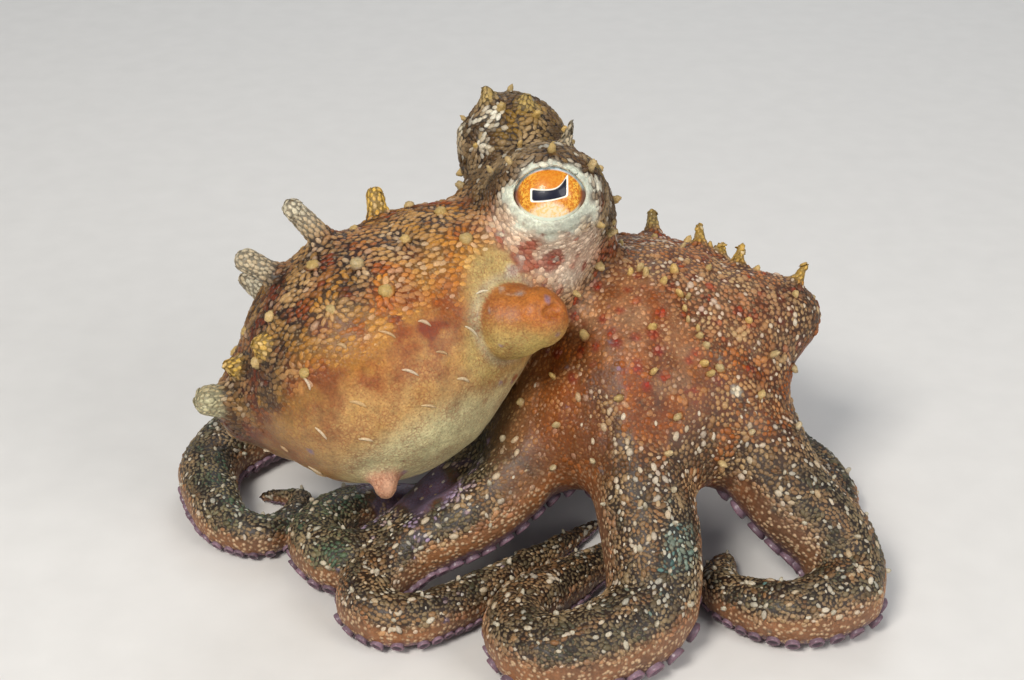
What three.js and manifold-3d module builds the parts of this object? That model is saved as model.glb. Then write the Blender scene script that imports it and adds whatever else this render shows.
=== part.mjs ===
// A common octopus at rest on a flat floor: head raised, mantle held out to the left,
// eight arms spread from the crown and curled along the floor. Millimetres, +Z up.
import * as THREE from 'three';
import { mergeVertices } from 'three/addons/utils/BufferGeometryUtils.js';
import Module from 'manifold-3d';

const wasm = await Module();
wasm.setup();

// ---- driving dimensions ----------------------------------------------------

const PART_GAP = 0.3; // clear space left wherever two parts meet
const PRESS_GAP = 0.8; // twice the space left where two soft parts press together
const FLOOR = 0;

// Crown: the middle of the arms, from which all eight start.
const CROWN = new THREE.Vector3(30, 2, 44);
const CROWN_CAP = { centre: [33, 0, 45], radii: [24, 16, 12] };
const SHOULDER = { centre: [54.5, 2, 46.5], radii: [12, 10, 9] };
const CROWN_REACH = 26; // where the crown ends and an arm begins, along the arm
const WEB_BLEND = 24; // how far the web fills the angle between neighbouring arms
const WEB_FULL = 24; // distance from the crown at which the web starts to thin
const WEB_END = 60; // distance from the crown at which the web has gone
const CAP_BLEND = 14;
const SHOULDER_BLEND = 6;
const HEAD_BLEND = 8;
const NECK_BLEND = 8;

// Arms: radius at the root and tip.
const ARM_ROOT_RADIUS = 11;
const ARM_TIP_RADIUS = 1;
const ARM_SQUAT = 0.9; // height of a lying arm's middle, as a share of its radius
const ARM_LANDING_BLEND = 3;
const ARM_STATIONS = 72;
const ARM_SIDES = 10;
const ARM_RING_STEP = 5.6;
const ARM_TIP_RING_STEP = 4;
const ARM_FLARE = 2.2; // how many radii the web may widen an arm
const ARM_INNER_BEND = 0.6; // share of a turn's radius that flesh may fill
const ARM_JOINTS = [0.38, 0.57, 0.76]; // where one length gives way to the next
const LENGTH_NAMES = ['root', 'upper', 'bend', 'tip'];

// The arms in order round the crown, each with its stoutness, how soon it tapers and its
// way: knee, shin and landing, and then the turns of its curl, which have no height because
// they lie down.
const ARMS = [
  { name: 'arm_front', stout: 1.17, taper: 0.55, way: [
    [28, -9, 43], [26.5, -28, 28], [27, -52, 9], [8, -63], [1, -51], [14, -33], [28, -18]] },
  { name: 'arm_front_left', stout: 0.95, taper: 0.65, way: [
    [18, -9, 38], [-2, -25, 19], [-23, -32, 8], [-30, -43], [-22, -50], [-10, -43],
    [5, -27], [20, -9]] },
  { name: 'arm_left', stout: 1.06, taper: 0.65, way: [
    [17, 0, 36], [-2, -9, 18], [-21, -25, 8], [-33, -32], [-42, -23], [-36, -10],
    [-17, -2], [1, 8]] },
  { name: 'arm_back_left', stout: 1.28, taper: 0.65, way: [
    [17, 13, 39], [-14, 28, 16], [-50, 26], [-68, 8], [-63, -14], [-51, -18],
    [-47, -3], [-57, 1]] },
  { name: 'arm_back', stout: 1.08, taper: 0.65, way: [
    [25, 19, 41], [15, 41, 26], [3, 61, 9], [-16, 65], [-24, 54], [-15, 45], [-6, 50]] },
  { name: 'arm_back_right', stout: 1.08, taper: 0.65, way: [
    [38, 17, 41], [50, 38, 27], [57, 56, 9], [44, 67], [34, 59], [38, 49], [46, 50]] },
  { name: 'arm_right', stout: 0.95, taper: 0.65, way: [
    [40, 12, 40], [49, 21, 24], [60, 15, 9], [70, 4], [72, -8], [64, -14], [57, -6], [59, -1]] },
  { name: 'arm_front_right', stout: 1.14, taper: 0.5, way: [
    [41, 0, 43], [46, -11, 35], [55, -25, 22], [67, -34, 11], [67, -44], [55, -48],
    [43, -39], [46, -24]] },
];

// Mantle: a sack hung from the neck, as middles and radii from its tip to the neck.
const MANTLE_WAY = [[-52.5, -20, 38], [-46, -18, 40], [-32, -16, 45], [-21, -12, 50], [-8, -4, 60]];
const MANTLE_RADII = [9, 17.2, 26.8, 23, 15];
const MANTLE_STATIONS = 24;

// Head: skull bulge, the cheek that runs down to the collar, and a mound under each eye.
const SKULL = { centre: [5.5, 3, 69], radii: [16.5, 17, 16] };
const CHEEK = { centre: [0, -8, 62], radii: [13, 11, 11] };
const NEAR_MOUND = { centre: [6.8, -7, 78], radii: [11.6, 9.5, 10.5] };
const FAR_MOUND = { centre: [0.5, 14, 81], radii: [11.5, 10, 10] };
const MOUND_BLEND = 6;
const EYE_RADIUS = 8.2;
const NEAR_EYE = [7.5, -9.3, 79.2];
const FAR_EYE = [0, 16.7, 81.8];

// Siphon: the short funnel at the mantle's opening.
const SIPHON_WAY = [[-8, -16, 57], [0, -24, 59], [5, -26.5, 61]];
const SIPHON_RADII = [8, 8.5, 6.5];
const SIPHON_STATIONS = 8;

// Papillae, each on the ray from its mass's middle at an azimuth and a height in degrees.
const SPIKE_SIDES = 5;
const SPIKE_ROOT = 1.5; // how deep a papilla is rooted
const HEAD_SPIKES = [
  { azimuth: 132, height: 52, length: 4, base: 2.3, tip: 0.8, lean: [0.2, 0, 0.1] },
  { azimuth: 106, height: 68, length: 3, base: 2.1, tip: 0.8, lean: [0, 0, 0] },
  { azimuth: 150, height: 28, length: 5.6, base: 1.4, tip: 0.6, lean: [0.4, 0.1, 0.8] },
  { azimuth: 12, height: 71, length: 6, base: 1.4, tip: 0.6, lean: [0, 0, 0.2] },
  { azimuth: -38, height: 38, length: 3, base: 1.5, tip: 0.9, lean: [-0.8, 0.3, 0.5] },
];
const MANTLE_SPIKES = [
  { azimuth: 145, height: 79, length: 11, base: 2.6, tip: 2, lean: [-0.5, -0.1, -0.2] },
  { azimuth: 177, height: 54, length: 8.5, base: 2.2, tip: 2.4, lean: [-0.2, -0.1, -0.3] },
  { azimuth: 70, height: 61, length: 5.8, base: 2.2, tip: 1.8, lean: [-0.3, 0, 0] },
  { azimuth: -161, height: -7, length: 5, base: 2.4, tip: 3.2, lean: [-0.1, 0.1, 0.1] },
  { azimuth: -71, height: -36, length: 4.2, base: 3.4, tip: 2.2, lean: [-0.1, 0, -0.1] },
  { azimuth: -160, height: 9, length: 2.6, base: 1.6, tip: 1.5, lean: [-0.2, 0, 0.1] },
  { azimuth: -140, height: 28, length: 2.4, base: 1.8, tip: 1.4, lean: [-0.2, 0, 0.1] },
  { azimuth: 144, height: 18, length: 8, base: 2.7, tip: 1.6, lean: [-0.2, 0, 0.3] },
  { azimuth: 98, height: 26, length: 6, base: 2.4, tip: 1.5, lean: [0, 0, 0.2] },
  { azimuth: 62, height: 8, length: 4.5, base: 2.2, tip: 1.3, lean: [0, 0, 0] },
];
const CROWN_SPIKES = [
  { azimuth: 96, height: 32, length: 6.2, base: 2.2, tip: 1, lean: [0.1, 0, 0.1] },
  { azimuth: 59, height: 35, length: 5.2, base: 1.8, tip: 0.9, lean: [-0.4, 0, 0.1] },
  { azimuth: 48, height: 24, length: 3, base: 1.4, tip: 0.8, lean: [-0.5, 0.1, 0.2] },
  { azimuth: 22, height: 33, length: 3.4, base: 1.5, tip: 0.9, lean: [-0.6, 0.1, 0.3] },
  { azimuth: 6, height: 16, length: 4, base: 1.5, tip: 0.9, lean: [-0.5, 0.2, 0.6] },
];

// Flat cuts between the big masses, each given by a point on it and its facing.
const CUT_BLOCK = 200;

// How far a mass may reach from its middle before its cuts, and how finely it is made:
// faces around and down.
const LONGEST_RAY = 60;
const HEAD_RAY = 30;
const HEAD_SKIRT = 4; // how far the head's own flesh spreads past its masses
const CROWN_RAY = 36;
const HEAD_FACES = [28, 20];
const MANTLE_FACES = [28, 18];
const CROWN_FACES = [32, 18];
const SIPHON_FACES = [14, 10];
const EYE_FACES = [14, 10];
const NECK_CUT = { at: [-10, -4, 61], facing: [0.74, 0.2, 0.64] };
const THROAT_CUT = { at: [17, 3, 61], facing: [0.75, 0.03, -0.66] };

// ---- small geometry helpers --------------------------------------------------

const clamp = THREE.MathUtils.clamp;
const UPWARD = new THREE.Vector3(0, 0, 1);
const TINY = 1e-6;
const CURVE_DIVISIONS = 600;
const MERGE_WITHIN = 1e-4;
const RAY_STEP = 0.6; // first, coarse steps along a ray
const RAY_HALVINGS = 14; // then this many halvings
const LEAST_BEND = 1e-3; // a turn wider than its inverse counts as straight
const LEAST_WEB = 0.01;
const CYLINDER_AXIS = new THREE.Vector3(0, 1, 0); // a cylinder stands along Y when made

function smoothMin(a, b, blend) {
  const share = Math.max(blend - Math.abs(a - b), 0) / blend;
  return Math.min(a, b) - share * share * blend / 4;
}

function fade(low, high, value) {
  const t = clamp((value - low) / (high - low), 0, 1);
  return t * t * (3 - 2 * t);
}

// A limb is a smooth line of middles with a radius at each.
function makeLimb(points, radiusAt, stations) {
  const curve = new THREE.CatmullRomCurve3(points, false, 'catmullrom', 0.5);
  curve.arcLengthDivisions = CURVE_DIVISIONS;
  const middles = curve.getSpacedPoints(stations);
  const radii = middles.map((middle, index) => radiusAt(index / stations));
  return { middles, radii, length: curve.getLength() };
}

function limbDepth(limb, p) {
  let best = Infinity;
  for (let i = 0; i + 1 < limb.middles.length; i++) {
    const a = limb.middles[i];
    const b = limb.middles[i + 1];
    const abx = b.x - a.x;
    const aby = b.y - a.y;
    const abz = b.z - a.z;
    const along = (p.x - a.x) * abx + (p.y - a.y) * aby + (p.z - a.z) * abz;
    const t = clamp(along / (abx * abx + aby * aby + abz * abz), 0, 1);
    const away = Math.hypot(p.x - a.x - abx * t, p.y - a.y - aby * t, p.z - a.z - abz * t);
    best = Math.min(best, away - limb.radii[i] * (1 - t) - limb.radii[i + 1] * t);
  }
  return best;
}

function eggDepth(egg, p) {
  const q = [p.x, p.y, p.z].map((value, axis) => (value - egg.centre[axis]) / egg.radii[axis]);
  const reach = Math.hypot(...q);
  const steep = Math.hypot(...q.map((value, axis) => value / egg.radii[axis]));
  return reach * (reach - 1) / Math.max(steep, TINY);
}

// A number along a list of evenly spaced values.
function alongList(values, t) {
  const place = clamp(t, 0, 1) * (values.length - 1);
  const low = Math.min(Math.floor(place), values.length - 2);
  return values[low] + (values[low + 1] - values[low]) * fade(0, 1, place - low);
}

const toPoints = (rows) => rows.map(([x, y, z = FLOOR]) => new THREE.Vector3(x, y, z));

// ---- the body as depths below its surface (negative inside) -------------------

const armRadius = (stout, taper) => (t) => ARM_TIP_RADIUS
  + (ARM_ROOT_RADIUS * stout - ARM_TIP_RADIUS) * (1 - t) ** taper;

const arms = ARMS.map(({ name, stout, taper, way }) => {
  const limb = makeLimb([CROWN, ...toPoints(way)], armRadius(stout, taper), ARM_STATIONS);
  limb.middles.forEach((middle, index) => {
    middle.z = -smoothMin(-middle.z, -ARM_SQUAT * limb.radii[index], ARM_LANDING_BLEND);
  });
  return { name, limb };
});

const mantle = makeLimb(toPoints(MANTLE_WAY), (t) => alongList(MANTLE_RADII, t), MANTLE_STATIONS);
const siphon = makeLimb(toPoints(SIPHON_WAY), (t) => alongList(SIPHON_RADII, t), SIPHON_STATIONS);

// All arms with the web between neighbours, and each arm's own depth.
function armsDepth(p) {
  const depths = arms.map(({ limb }) => limbDepth(limb, p));
  const web = WEB_BLEND * (1 - fade(WEB_FULL, WEB_END, p.distanceTo(CROWN))) + LEAST_WEB;
  const cap = smoothMin(eggDepth(CROWN_CAP, p), eggDepth(SHOULDER, p), SHOULDER_BLEND);
  let all = smoothMin(Math.min(...depths), cap, CAP_BLEND);
  depths.forEach((depth, index) => {
    all = Math.min(all, smoothMin(depth, depths[(index + 1) % depths.length], web));
  });
  return { all, depths };
}

function headDepth(p) {
  const near = smoothMin(eggDepth(SKULL, p), eggDepth(NEAR_MOUND, p), MOUND_BLEND);
  const eyes = smoothMin(near, eggDepth(FAR_MOUND, p), MOUND_BLEND);
  return smoothMin(eyes, eggDepth(CHEEK, p), MOUND_BLEND);
}

// ---- solids ------------------------------------------------------------------

// How far a ray from inside runs before the claim on space ends.
function reachOf(claim, from, direction, longest) {
  const p = new THREE.Vector3();
  const at = (distance) => claim(p.copy(direction).multiplyScalar(distance).add(from));
  let high = RAY_STEP;
  while (high < longest && at(high) < 0) high += RAY_STEP;
  let low = high - RAY_STEP;
  for (let i = 0; i < RAY_HALVINGS; i++) {
    const middle = (low + high) / 2;
    if (at(middle) < 0) low = middle;
    else high = middle;
  }
  return low;
}

function bare(geometry) {
  geometry.deleteAttribute('normal');
  geometry.deleteAttribute('uv');
  return mergeVertices(geometry, MERGE_WITHIN);
}

// A round mass: a sphere whose every point is pushed out to the end of its claim.
function roundMass(claim, centre, faces, longest = LONGEST_RAY) {
  const geometry = bare(new THREE.SphereGeometry(1, ...faces).rotateX(Math.PI / 2));
  const from = new THREE.Vector3(...centre);
  const place = geometry.attributes.position;
  const direction = new THREE.Vector3();
  for (let i = 0; i < place.count; i++) {
    direction.fromBufferAttribute(place, i).normalize();
    direction.multiplyScalar(reachOf(claim, from, direction.clone(), longest)).add(from);
    place.setXYZ(i, direction.x, direction.y, direction.z);
  }
  return geometry;
}

// One length of an arm: a cylinder bent along the arm, its rings pushed out to the skin.
function armLength(index, start, end, claim) {
  const { limb } = arms[index];
  const count = limb.middles.length - 1;
  const cuts = [start, end].map((t) => t * count);
  const ringStep = end === 1 ? ARM_TIP_RING_STEP : ARM_RING_STEP;
  const rings = Math.max(2, Math.round(limb.length * (end - start) / ringStep));
  const geometry = bare(new THREE.CylinderGeometry(1, 1, 1, ARM_SIDES, rings));
  const place = geometry.attributes.position;
  const local = new THREE.Vector3();
  for (let i = 0; i < place.count; i++) {
    local.fromBufferAttribute(place, i);
    const share = local.y + 0.5;
    const at = cuts[0] + (cuts[1] - cuts[0]) * share;
    const { middle, tangent, radius, bend } = stationOf(limb, at);
    if (share < TINY) middle.addScaledVector(tangent, PART_GAP / 2);
    if (share > 1 - TINY && end < 1) middle.addScaledVector(tangent, -PART_GAP / 2);
    const side = new THREE.Vector3().crossVectors(tangent, UPWARD).normalize();
    const up = new THREE.Vector3().crossVectors(side, tangent);
    const angle = Math.atan2(local.z, local.x) + Math.PI / ARM_SIDES;
    const out = side.multiplyScalar(Math.cos(angle)).addScaledVector(up, Math.sin(angle));
    const inward = Math.max(bend.dot(out), LEAST_BEND);
    const longest = Math.min(radius * ARM_FLARE, ARM_INNER_BEND / inward);
    const onAxis = Math.hypot(local.x, local.z) < TINY;
    const reach = onAxis ? 0 : reachOf(claim, middle, out, longest);
    middle.addScaledVector(out, reach);
    place.setXYZ(i, middle.x, middle.y, middle.z);
  }
  return geometry;
}

function stationOf(limb, at) {
  const low = Math.min(Math.floor(at), limb.middles.length - 2);
  const before = limb.middles[Math.max(low - 1, 0)];
  const a = limb.middles[low];
  const b = limb.middles[low + 1];
  const after = limb.middles[Math.min(low + 2, limb.middles.length - 1)];
  const share = at - low;
  const tangentA = b.clone().sub(before).normalize();
  const tangentB = after.clone().sub(a).normalize();
  return {
    middle: a.clone().lerp(b, share),
    bend: tangentB.clone().sub(tangentA).divideScalar(a.distanceTo(b)),
    tangent: tangentA.clone().lerp(tangentB, share).normalize(),
    radius: THREE.MathUtils.lerp(limb.radii[low], limb.radii[low + 1], share),
  };
}

function solidOf(geometry) {
  const mesh = new wasm.Mesh({
    numProp: 3,
    vertProperties: new Float32Array(geometry.attributes.position.array),
    triVerts: new Uint32Array(geometry.index.array),
  });
  return new wasm.Manifold(mesh);
}

function geometryOf(solid) {
  const mesh = solid.getMesh();
  const geometry = new THREE.BufferGeometry();
  geometry.setAttribute('position', new THREE.BufferAttribute(mesh.vertProperties, 3));
  geometry.setIndex(new THREE.BufferAttribute(mesh.triVerts, 1));
  return geometry;
}

// ---- who owns which space ------------------------------------------------------

const mantleDepth = (p) => limbDepth(mantle, p);
const siphonDepth = (p) => limbDepth(siphon, p);
const neckOf = (p) => smoothMin(headDepth(p), mantleDepth(p), NECK_BLEND);
const throatOf = (p) => smoothMin(headDepth(p), armsDepth(p).all, HEAD_BLEND);

// The flat face where each arm leaves the crown.
const armStarts = arms.map(({ limb }) => CROWN_REACH / limb.length);
const shoulderCuts = arms.map(({ limb }, index) => {
  const { middle, tangent } = stationOf(limb, armStarts[index] * (limb.middles.length - 1));
  return { at: middle.toArray(), facing: tangent.toArray() };
});

// Positive where another part is nearer than this one, with the gap kept between them.
const yielded = (own, ...others) => own - Math.min(...others) + PRESS_GAP;

function crownClaim(p) {
  const arm = armsDepth(p).all;
  return Math.max(
    throatOf(p),
    yielded(arm, mantleDepth(p), siphonDepth(p)),
  );
}

function headClaim(p) {
  return Math.max(
    Math.min(neckOf(p), throatOf(p)),
    Math.min(headDepth(p), mantleDepth(p)) - HEAD_SKIRT,
    yielded(headDepth(p), siphonDepth(p)),
  );
}

function mantleClaim(p) {
  return Math.max(
    neckOf(p),
    yielded(mantleDepth(p), armsDepth(p).all, siphonDepth(p)),
  );
}

const siphonClaim = (p) => Math.max(
  siphonDepth(p),
  yielded(siphonDepth(p), mantleDepth(p), armsDepth(p).all, headDepth(p)) + PART_GAP,
);

const armClaim = (index) => (p) => {
  const { all, depths } = armsDepth(p);
  const own = depths[index];
  const others = depths.filter((depth, other) => other !== index);
  return Math.max(all, yielded(own, ...others), yielded(own, mantleDepth(p)), FLOOR - p.z);
};

// Takes away all that lies on the facing side of a cut, or on its other side.
function trimmed(solid, cut, side = 1) {
  const facing = new THREE.Vector3(...cut.facing).normalize().multiplyScalar(side);
  const block = new THREE.BoxGeometry(CUT_BLOCK, CUT_BLOCK, CUT_BLOCK);
  block.translate(0, CUT_BLOCK / 2 - PART_GAP / 2, 0);
  block.applyQuaternion(new THREE.Quaternion().setFromUnitVectors(CYLINDER_AXIS, facing));
  return solid.subtract(solidOf(bare(block.translate(...cut.at))));
}

// ---- papillae: fleshy spikes joined to what they grow from -------------------------

function spikeOn(claim, from, { azimuth, height, length, base, tip, lean }) {
  const turn = THREE.MathUtils.degToRad(azimuth);
  const rise = THREE.MathUtils.degToRad(height);
  const flat = Math.cos(rise);
  const out = new THREE.Vector3(flat * Math.cos(turn), flat * Math.sin(turn), Math.sin(rise));
  const centre = new THREE.Vector3(...from);
  const root = centre.addScaledVector(out, reachOf(claim, centre, out, LONGEST_RAY) - SPIKE_ROOT);
  const axis = out.clone().add(new THREE.Vector3(...lean)).normalize();
  const whole = length + SPIKE_ROOT;
  const cone = new THREE.CylinderGeometry(tip, base, whole, SPIKE_SIDES).translate(0, whole / 2, 0);
  const turned = new THREE.Quaternion().setFromUnitVectors(CYLINDER_AXIS, axis);
  return solidOf(bare(cone.applyQuaternion(turned).translate(...root)));
}

const withSpikes = (solid, claim, from, spikes) => spikes.reduce(
  (grown, spike) => grown.add(spikeOn(claim, from, spike)),
  solid,
);

// ---- the octopus -----------------------------------------------------------------

const FLESH = { color: 0xb06a3c, roughness: 0.55, metalness: 0 };
const PALE_FLESH = { color: 0xd2a566, roughness: 0.5, metalness: 0 };
const ARM_FLESH = { color: 0x8a6a4c, roughness: 0.6, metalness: 0 };
const EYE = { color: 0xd98324, roughness: 0.1, metalness: 0 };

const octopus = new THREE.Group();

function addPart(name, geometry, finish) {
  const mesh = new THREE.Mesh(geometry, new THREE.MeshStandardMaterial(finish));
  mesh.name = name;
  octopus.add(mesh);
}

function eyeball(place, radius) {
  return bare(new THREE.SphereGeometry(radius, ...EYE_FACES).translate(...place));
}

let head = solidOf(roundMass(headClaim, SKULL.centre, HEAD_FACES, HEAD_RAY));
head = trimmed(trimmed(head, THROAT_CUT), NECK_CUT, -1);
head = withSpikes(head, headClaim, SKULL.centre, HEAD_SPIKES);
for (const place of [NEAR_EYE, FAR_EYE]) {
  head = head.subtract(solidOf(eyeball(place, EYE_RADIUS + PART_GAP)));
}
addPart('head', geometryOf(head), FLESH);
addPart('eye_near', eyeball(NEAR_EYE, EYE_RADIUS), EYE);
addPart('eye_far', eyeball(FAR_EYE, EYE_RADIUS), EYE);

const siphonRoomClaim = (p) => siphonClaim(p) - 2 * PART_GAP;
const siphonRoom = solidOf(roundMass(siphonRoomClaim, SIPHON_WAY[1], SIPHON_FACES));
const mantleWhole = solidOf(roundMass(mantleClaim, MANTLE_WAY[2], MANTLE_FACES));
const mantleMass = trimmed(mantleWhole, NECK_CUT).subtract(siphonRoom);
const mantleSolid = withSpikes(mantleMass, mantleClaim, MANTLE_WAY[2], MANTLE_SPIKES);
addPart('mantle', geometryOf(mantleSolid), PALE_FLESH);
addPart('siphon', roundMass(siphonClaim, SIPHON_WAY[1], SIPHON_FACES), FLESH);

const crownWhole = solidOf(roundMass(crownClaim, CROWN_CAP.centre, CROWN_FACES, CROWN_RAY));
const crownMass = shoulderCuts.reduce(
  (rest, cut) => trimmed(rest, cut),
  trimmed(crownWhole, THROAT_CUT, -1),
);
const crownSolid = withSpikes(crownMass, crownClaim, CROWN_CAP.centre, CROWN_SPIKES);
addPart('crown', geometryOf(crownSolid), FLESH);

arms.forEach(({ name }, index) => {
  const claim = armClaim(index);
  const ends = [armStarts[index], ...ARM_JOINTS, 1];
  LENGTH_NAMES.forEach((length, part) => {
    const whole = armLength(index, ends[part], ends[part + 1], claim);
    const geometry = part ? whole : geometryOf(
      [THROAT_CUT, shoulderCuts[index]].reduce((rest, cut) => trimmed(rest, cut, -1), solidOf(whole)),
    );
    addPart(`${name}_${length}`, geometry, ARM_FLESH);
  });
});

// The origin is on the floor, under the middle of the whole.
octopus.updateMatrixWorld(true);
const box = new THREE.Box3().setFromObject(octopus, true);
const middle = box.getCenter(new THREE.Vector3());
octopus.position.set(-middle.x, -middle.y, -box.min.z);

export default octopus;
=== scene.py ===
import math

import bpy
import numpy as np
import openvdb
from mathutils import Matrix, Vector
from mathutils.kdtree import KDTree


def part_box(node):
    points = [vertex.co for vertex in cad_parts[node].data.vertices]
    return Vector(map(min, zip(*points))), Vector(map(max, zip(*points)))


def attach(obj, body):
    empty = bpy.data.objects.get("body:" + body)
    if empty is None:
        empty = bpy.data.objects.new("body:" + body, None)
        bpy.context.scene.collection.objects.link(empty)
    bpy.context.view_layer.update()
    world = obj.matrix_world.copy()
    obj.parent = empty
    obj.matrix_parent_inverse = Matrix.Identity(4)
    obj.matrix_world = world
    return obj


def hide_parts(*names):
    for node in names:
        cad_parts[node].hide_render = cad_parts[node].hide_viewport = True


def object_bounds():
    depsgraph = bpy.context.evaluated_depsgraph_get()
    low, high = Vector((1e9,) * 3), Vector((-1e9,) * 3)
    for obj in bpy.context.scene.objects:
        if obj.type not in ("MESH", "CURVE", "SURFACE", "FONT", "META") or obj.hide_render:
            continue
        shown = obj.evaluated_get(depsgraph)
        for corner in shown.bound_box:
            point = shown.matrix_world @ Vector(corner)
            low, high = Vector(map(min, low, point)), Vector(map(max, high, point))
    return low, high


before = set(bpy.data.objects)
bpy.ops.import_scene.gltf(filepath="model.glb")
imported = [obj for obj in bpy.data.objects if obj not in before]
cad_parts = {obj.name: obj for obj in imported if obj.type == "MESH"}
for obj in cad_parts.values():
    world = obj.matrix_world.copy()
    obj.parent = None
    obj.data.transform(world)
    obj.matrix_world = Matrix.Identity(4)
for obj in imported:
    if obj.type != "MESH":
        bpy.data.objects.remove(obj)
cad_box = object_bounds()

# A common octopus on a pale floor. Shapes are worked out in millimetres in the body's own frame,
# where the solids were drawn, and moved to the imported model's frame when a mesh is made.

rng = np.random.default_rng(20)
MM = 0.001

# ---- driving dimensions, the same as the solids' ----

CROWN = np.array([30.0, 2, 44])
CROWN_CAP = ([33, 0, 45], [24, 16, 12])
SHOULDER = ([54.5, 2, 46.5], [12, 10, 9])
WEB_BLEND, WEB_FULL, WEB_END = 24, 24, 60
CAP_BLEND, SHOULDER_BLEND, HEAD_BLEND, NECK_BLEND, MOUND_BLEND = 14, 6, 8, 8, 6
ARM_ROOT_RADIUS, ARM_TIP_RADIUS = 11, 1
ARM_SQUAT, ARM_LANDING_BLEND, ARM_STATIONS = 0.9, 3, 72
MANTLE_STATIONS, SIPHON_STATIONS = 24, 8
CURVE_SAMPLES = 600

# Each arm: stoutness, how soon it tapers, how green its back is, then its way. A point with
# no height lies down.
ARMS = {
    "front": (1.17, 0.55, 0.1, [
        [28, -9, 43], [26.5, -28, 28], [27, -52, 9], [8, -63], [1, -51], [14, -33], [28, -18]]),
    "front_left": (0.95, 0.65, 0.1, [
        [18, -9, 38], [-2, -25, 19], [-23, -32, 8], [-30, -43], [-22, -50], [-10, -43],
        [5, -27], [20, -9]]),
    "left": (1.06, 0.65, 0.75, [
        [17, 0, 36], [-2, -9, 18], [-21, -25, 8], [-33, -32], [-42, -23], [-36, -10],
        [-17, -2], [1, 8]]),
    "back_left": (1.28, 0.65, 0.6, [
        [17, 13, 39], [-14, 28, 16], [-50, 26], [-68, 8], [-63, -14], [-51, -18], [-47, -3],
        [-57, 1]]),
    "back": (1.08, 0.65, 0.3, [
        [25, 19, 41], [15, 41, 26], [3, 61, 9], [-16, 65], [-24, 54], [-15, 45], [-6, 50]]),
    "back_right": (1.08, 0.65, 0.3, [
        [38, 17, 41], [50, 38, 27], [57, 56, 9], [44, 67], [34, 59], [38, 49], [46, 50]]),
    "right": (0.95, 0.65, 0.2, [
        [40, 12, 40], [49, 21, 24], [60, 15, 9], [70, 4], [72, -8], [64, -14], [57, -6],
        [59, -1]]),
    "front_right": (1.14, 0.5, 0.15, [
        [41, 0, 43], [46, -11, 35], [55, -25, 22], [67, -34, 11], [67, -44], [55, -48],
        [43, -39], [46, -24]]),
}

MANTLE_WAY = [[-52.5, -20, 38], [-46, -18, 40], [-32, -16, 45], [-21, -12, 50], [-8, -4, 60]]
MANTLE_RADII = [9, 17.2, 26.8, 23, 15]
SKULL = ([5.5, 3, 69], [16.5, 17, 16])
CHEEK = ([0, -8, 62], [13, 11, 11])
NEAR_MOUND = ([6.8, -7, 78], [11.6, 9.5, 10.5])
FAR_MOUND = ([0.5, 14, 81], [11.5, 10, 10])
EYE_RADIUS = 8.2
NEAR_EYE = [7.5, -9.3, 79.2]
FAR_EYE = [0, 16.7, 81.8]
SIPHON_WAY = [[-8, -16, 57], [0, -24, 59], [5, -26.5, 61]]
SIPHON_RADII = [8, 8.5, 6.5]

# Fleshy spikes: azimuth and height of the ray each stands on, length, base and tip radius,
# lean and colour.
SPIKES = {
    "head": (SKULL[0], [
        (132, 52, 4, 2.3, 0.8, [0.2, 0, 0.1], "khaki"),
        (106, 68, 3, 2.1, 0.8, [0, 0, 0], "khaki"),
        (150, 28, 5.6, 1.4, 0.6, [0.4, 0.1, 0.8], "ash"),
        (12, 71, 6, 1.4, 0.6, [0, 0, 0.2], "ash"),
        (-38, 38, 3, 1.5, 0.9, [-0.8, 0.3, 0.5], "khaki")]),
    "mantle": (MANTLE_WAY[2], [
        (145, 79, 11, 2.6, 2, [-0.5, -0.1, -0.2], "ash"),
        (177, 54, 8.5, 2.2, 2.4, [-0.2, -0.1, -0.3], "ash"),
        (70, 61, 5.8, 2.2, 1.8, [-0.3, 0, 0], "straw"),
        (-161, -7, 5, 2.4, 3.2, [-0.1, 0.1, 0.1], "moss"),
        (-71, -36, 4.2, 3.4, 2.2, [-0.1, 0, -0.1], "teat"),
        (-160, 9, 2.6, 1.6, 1.5, [-0.2, 0, 0.1], "straw"),
        (-140, 28, 2.4, 1.8, 1.4, [-0.2, 0, 0.1], "straw"),
        (144, 18, 8, 2.7, 1.6, [-0.2, 0, 0.3], "ash"),
        (98, 26, 6, 2.4, 1.5, [0, 0, 0.2], "khaki"),
        (62, 8, 4.5, 2.2, 1.3, [0, 0, 0], "khaki")]),
    "crown": (CROWN_CAP[0], [
        (96, 32, 6.2, 2.2, 1, [0.1, 0, 0.1], "khaki"),
        (59, 35, 5.2, 1.8, 0.9, [-0.4, 0, 0.1], "straw"),
        (48, 24, 3, 1.4, 0.8, [-0.5, 0.1, 0.2], "straw"),
        (22, 33, 3.4, 1.5, 0.9, [-0.6, 0.1, 0.3], "straw"),
        (6, 16, 4, 1.5, 0.9, [-0.5, 0.2, 0.6], "straw")]),
}

COAT_DEPTH = 0.5  # how far the skin lies inside the solids
SKIN_FLOOR = 0.25  # how high the skin's underside stands
STEP = 1.0  # spacing of the skin's grid
FINE_STEP = 0.52  # and where the head is
COARSE_STEP = 3.0
BAND = 3.4  # how near the surface the fine grid is worked out
MARGIN = 3.0  # room round the body in the grid
FINE_ZONE = [(-14, 24), (-24, 2), (56, 94)]

# ---- colours ----


def paint_of(red, green, blue):
    """A colour given as it looks on a screen, 0 to 255, as linear light."""
    value = np.array([red, green, blue]) / 255
    return np.where(value <= 0.04045, value / 12.92, ((value + 0.055) / 1.055) ** 2.4)


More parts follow.
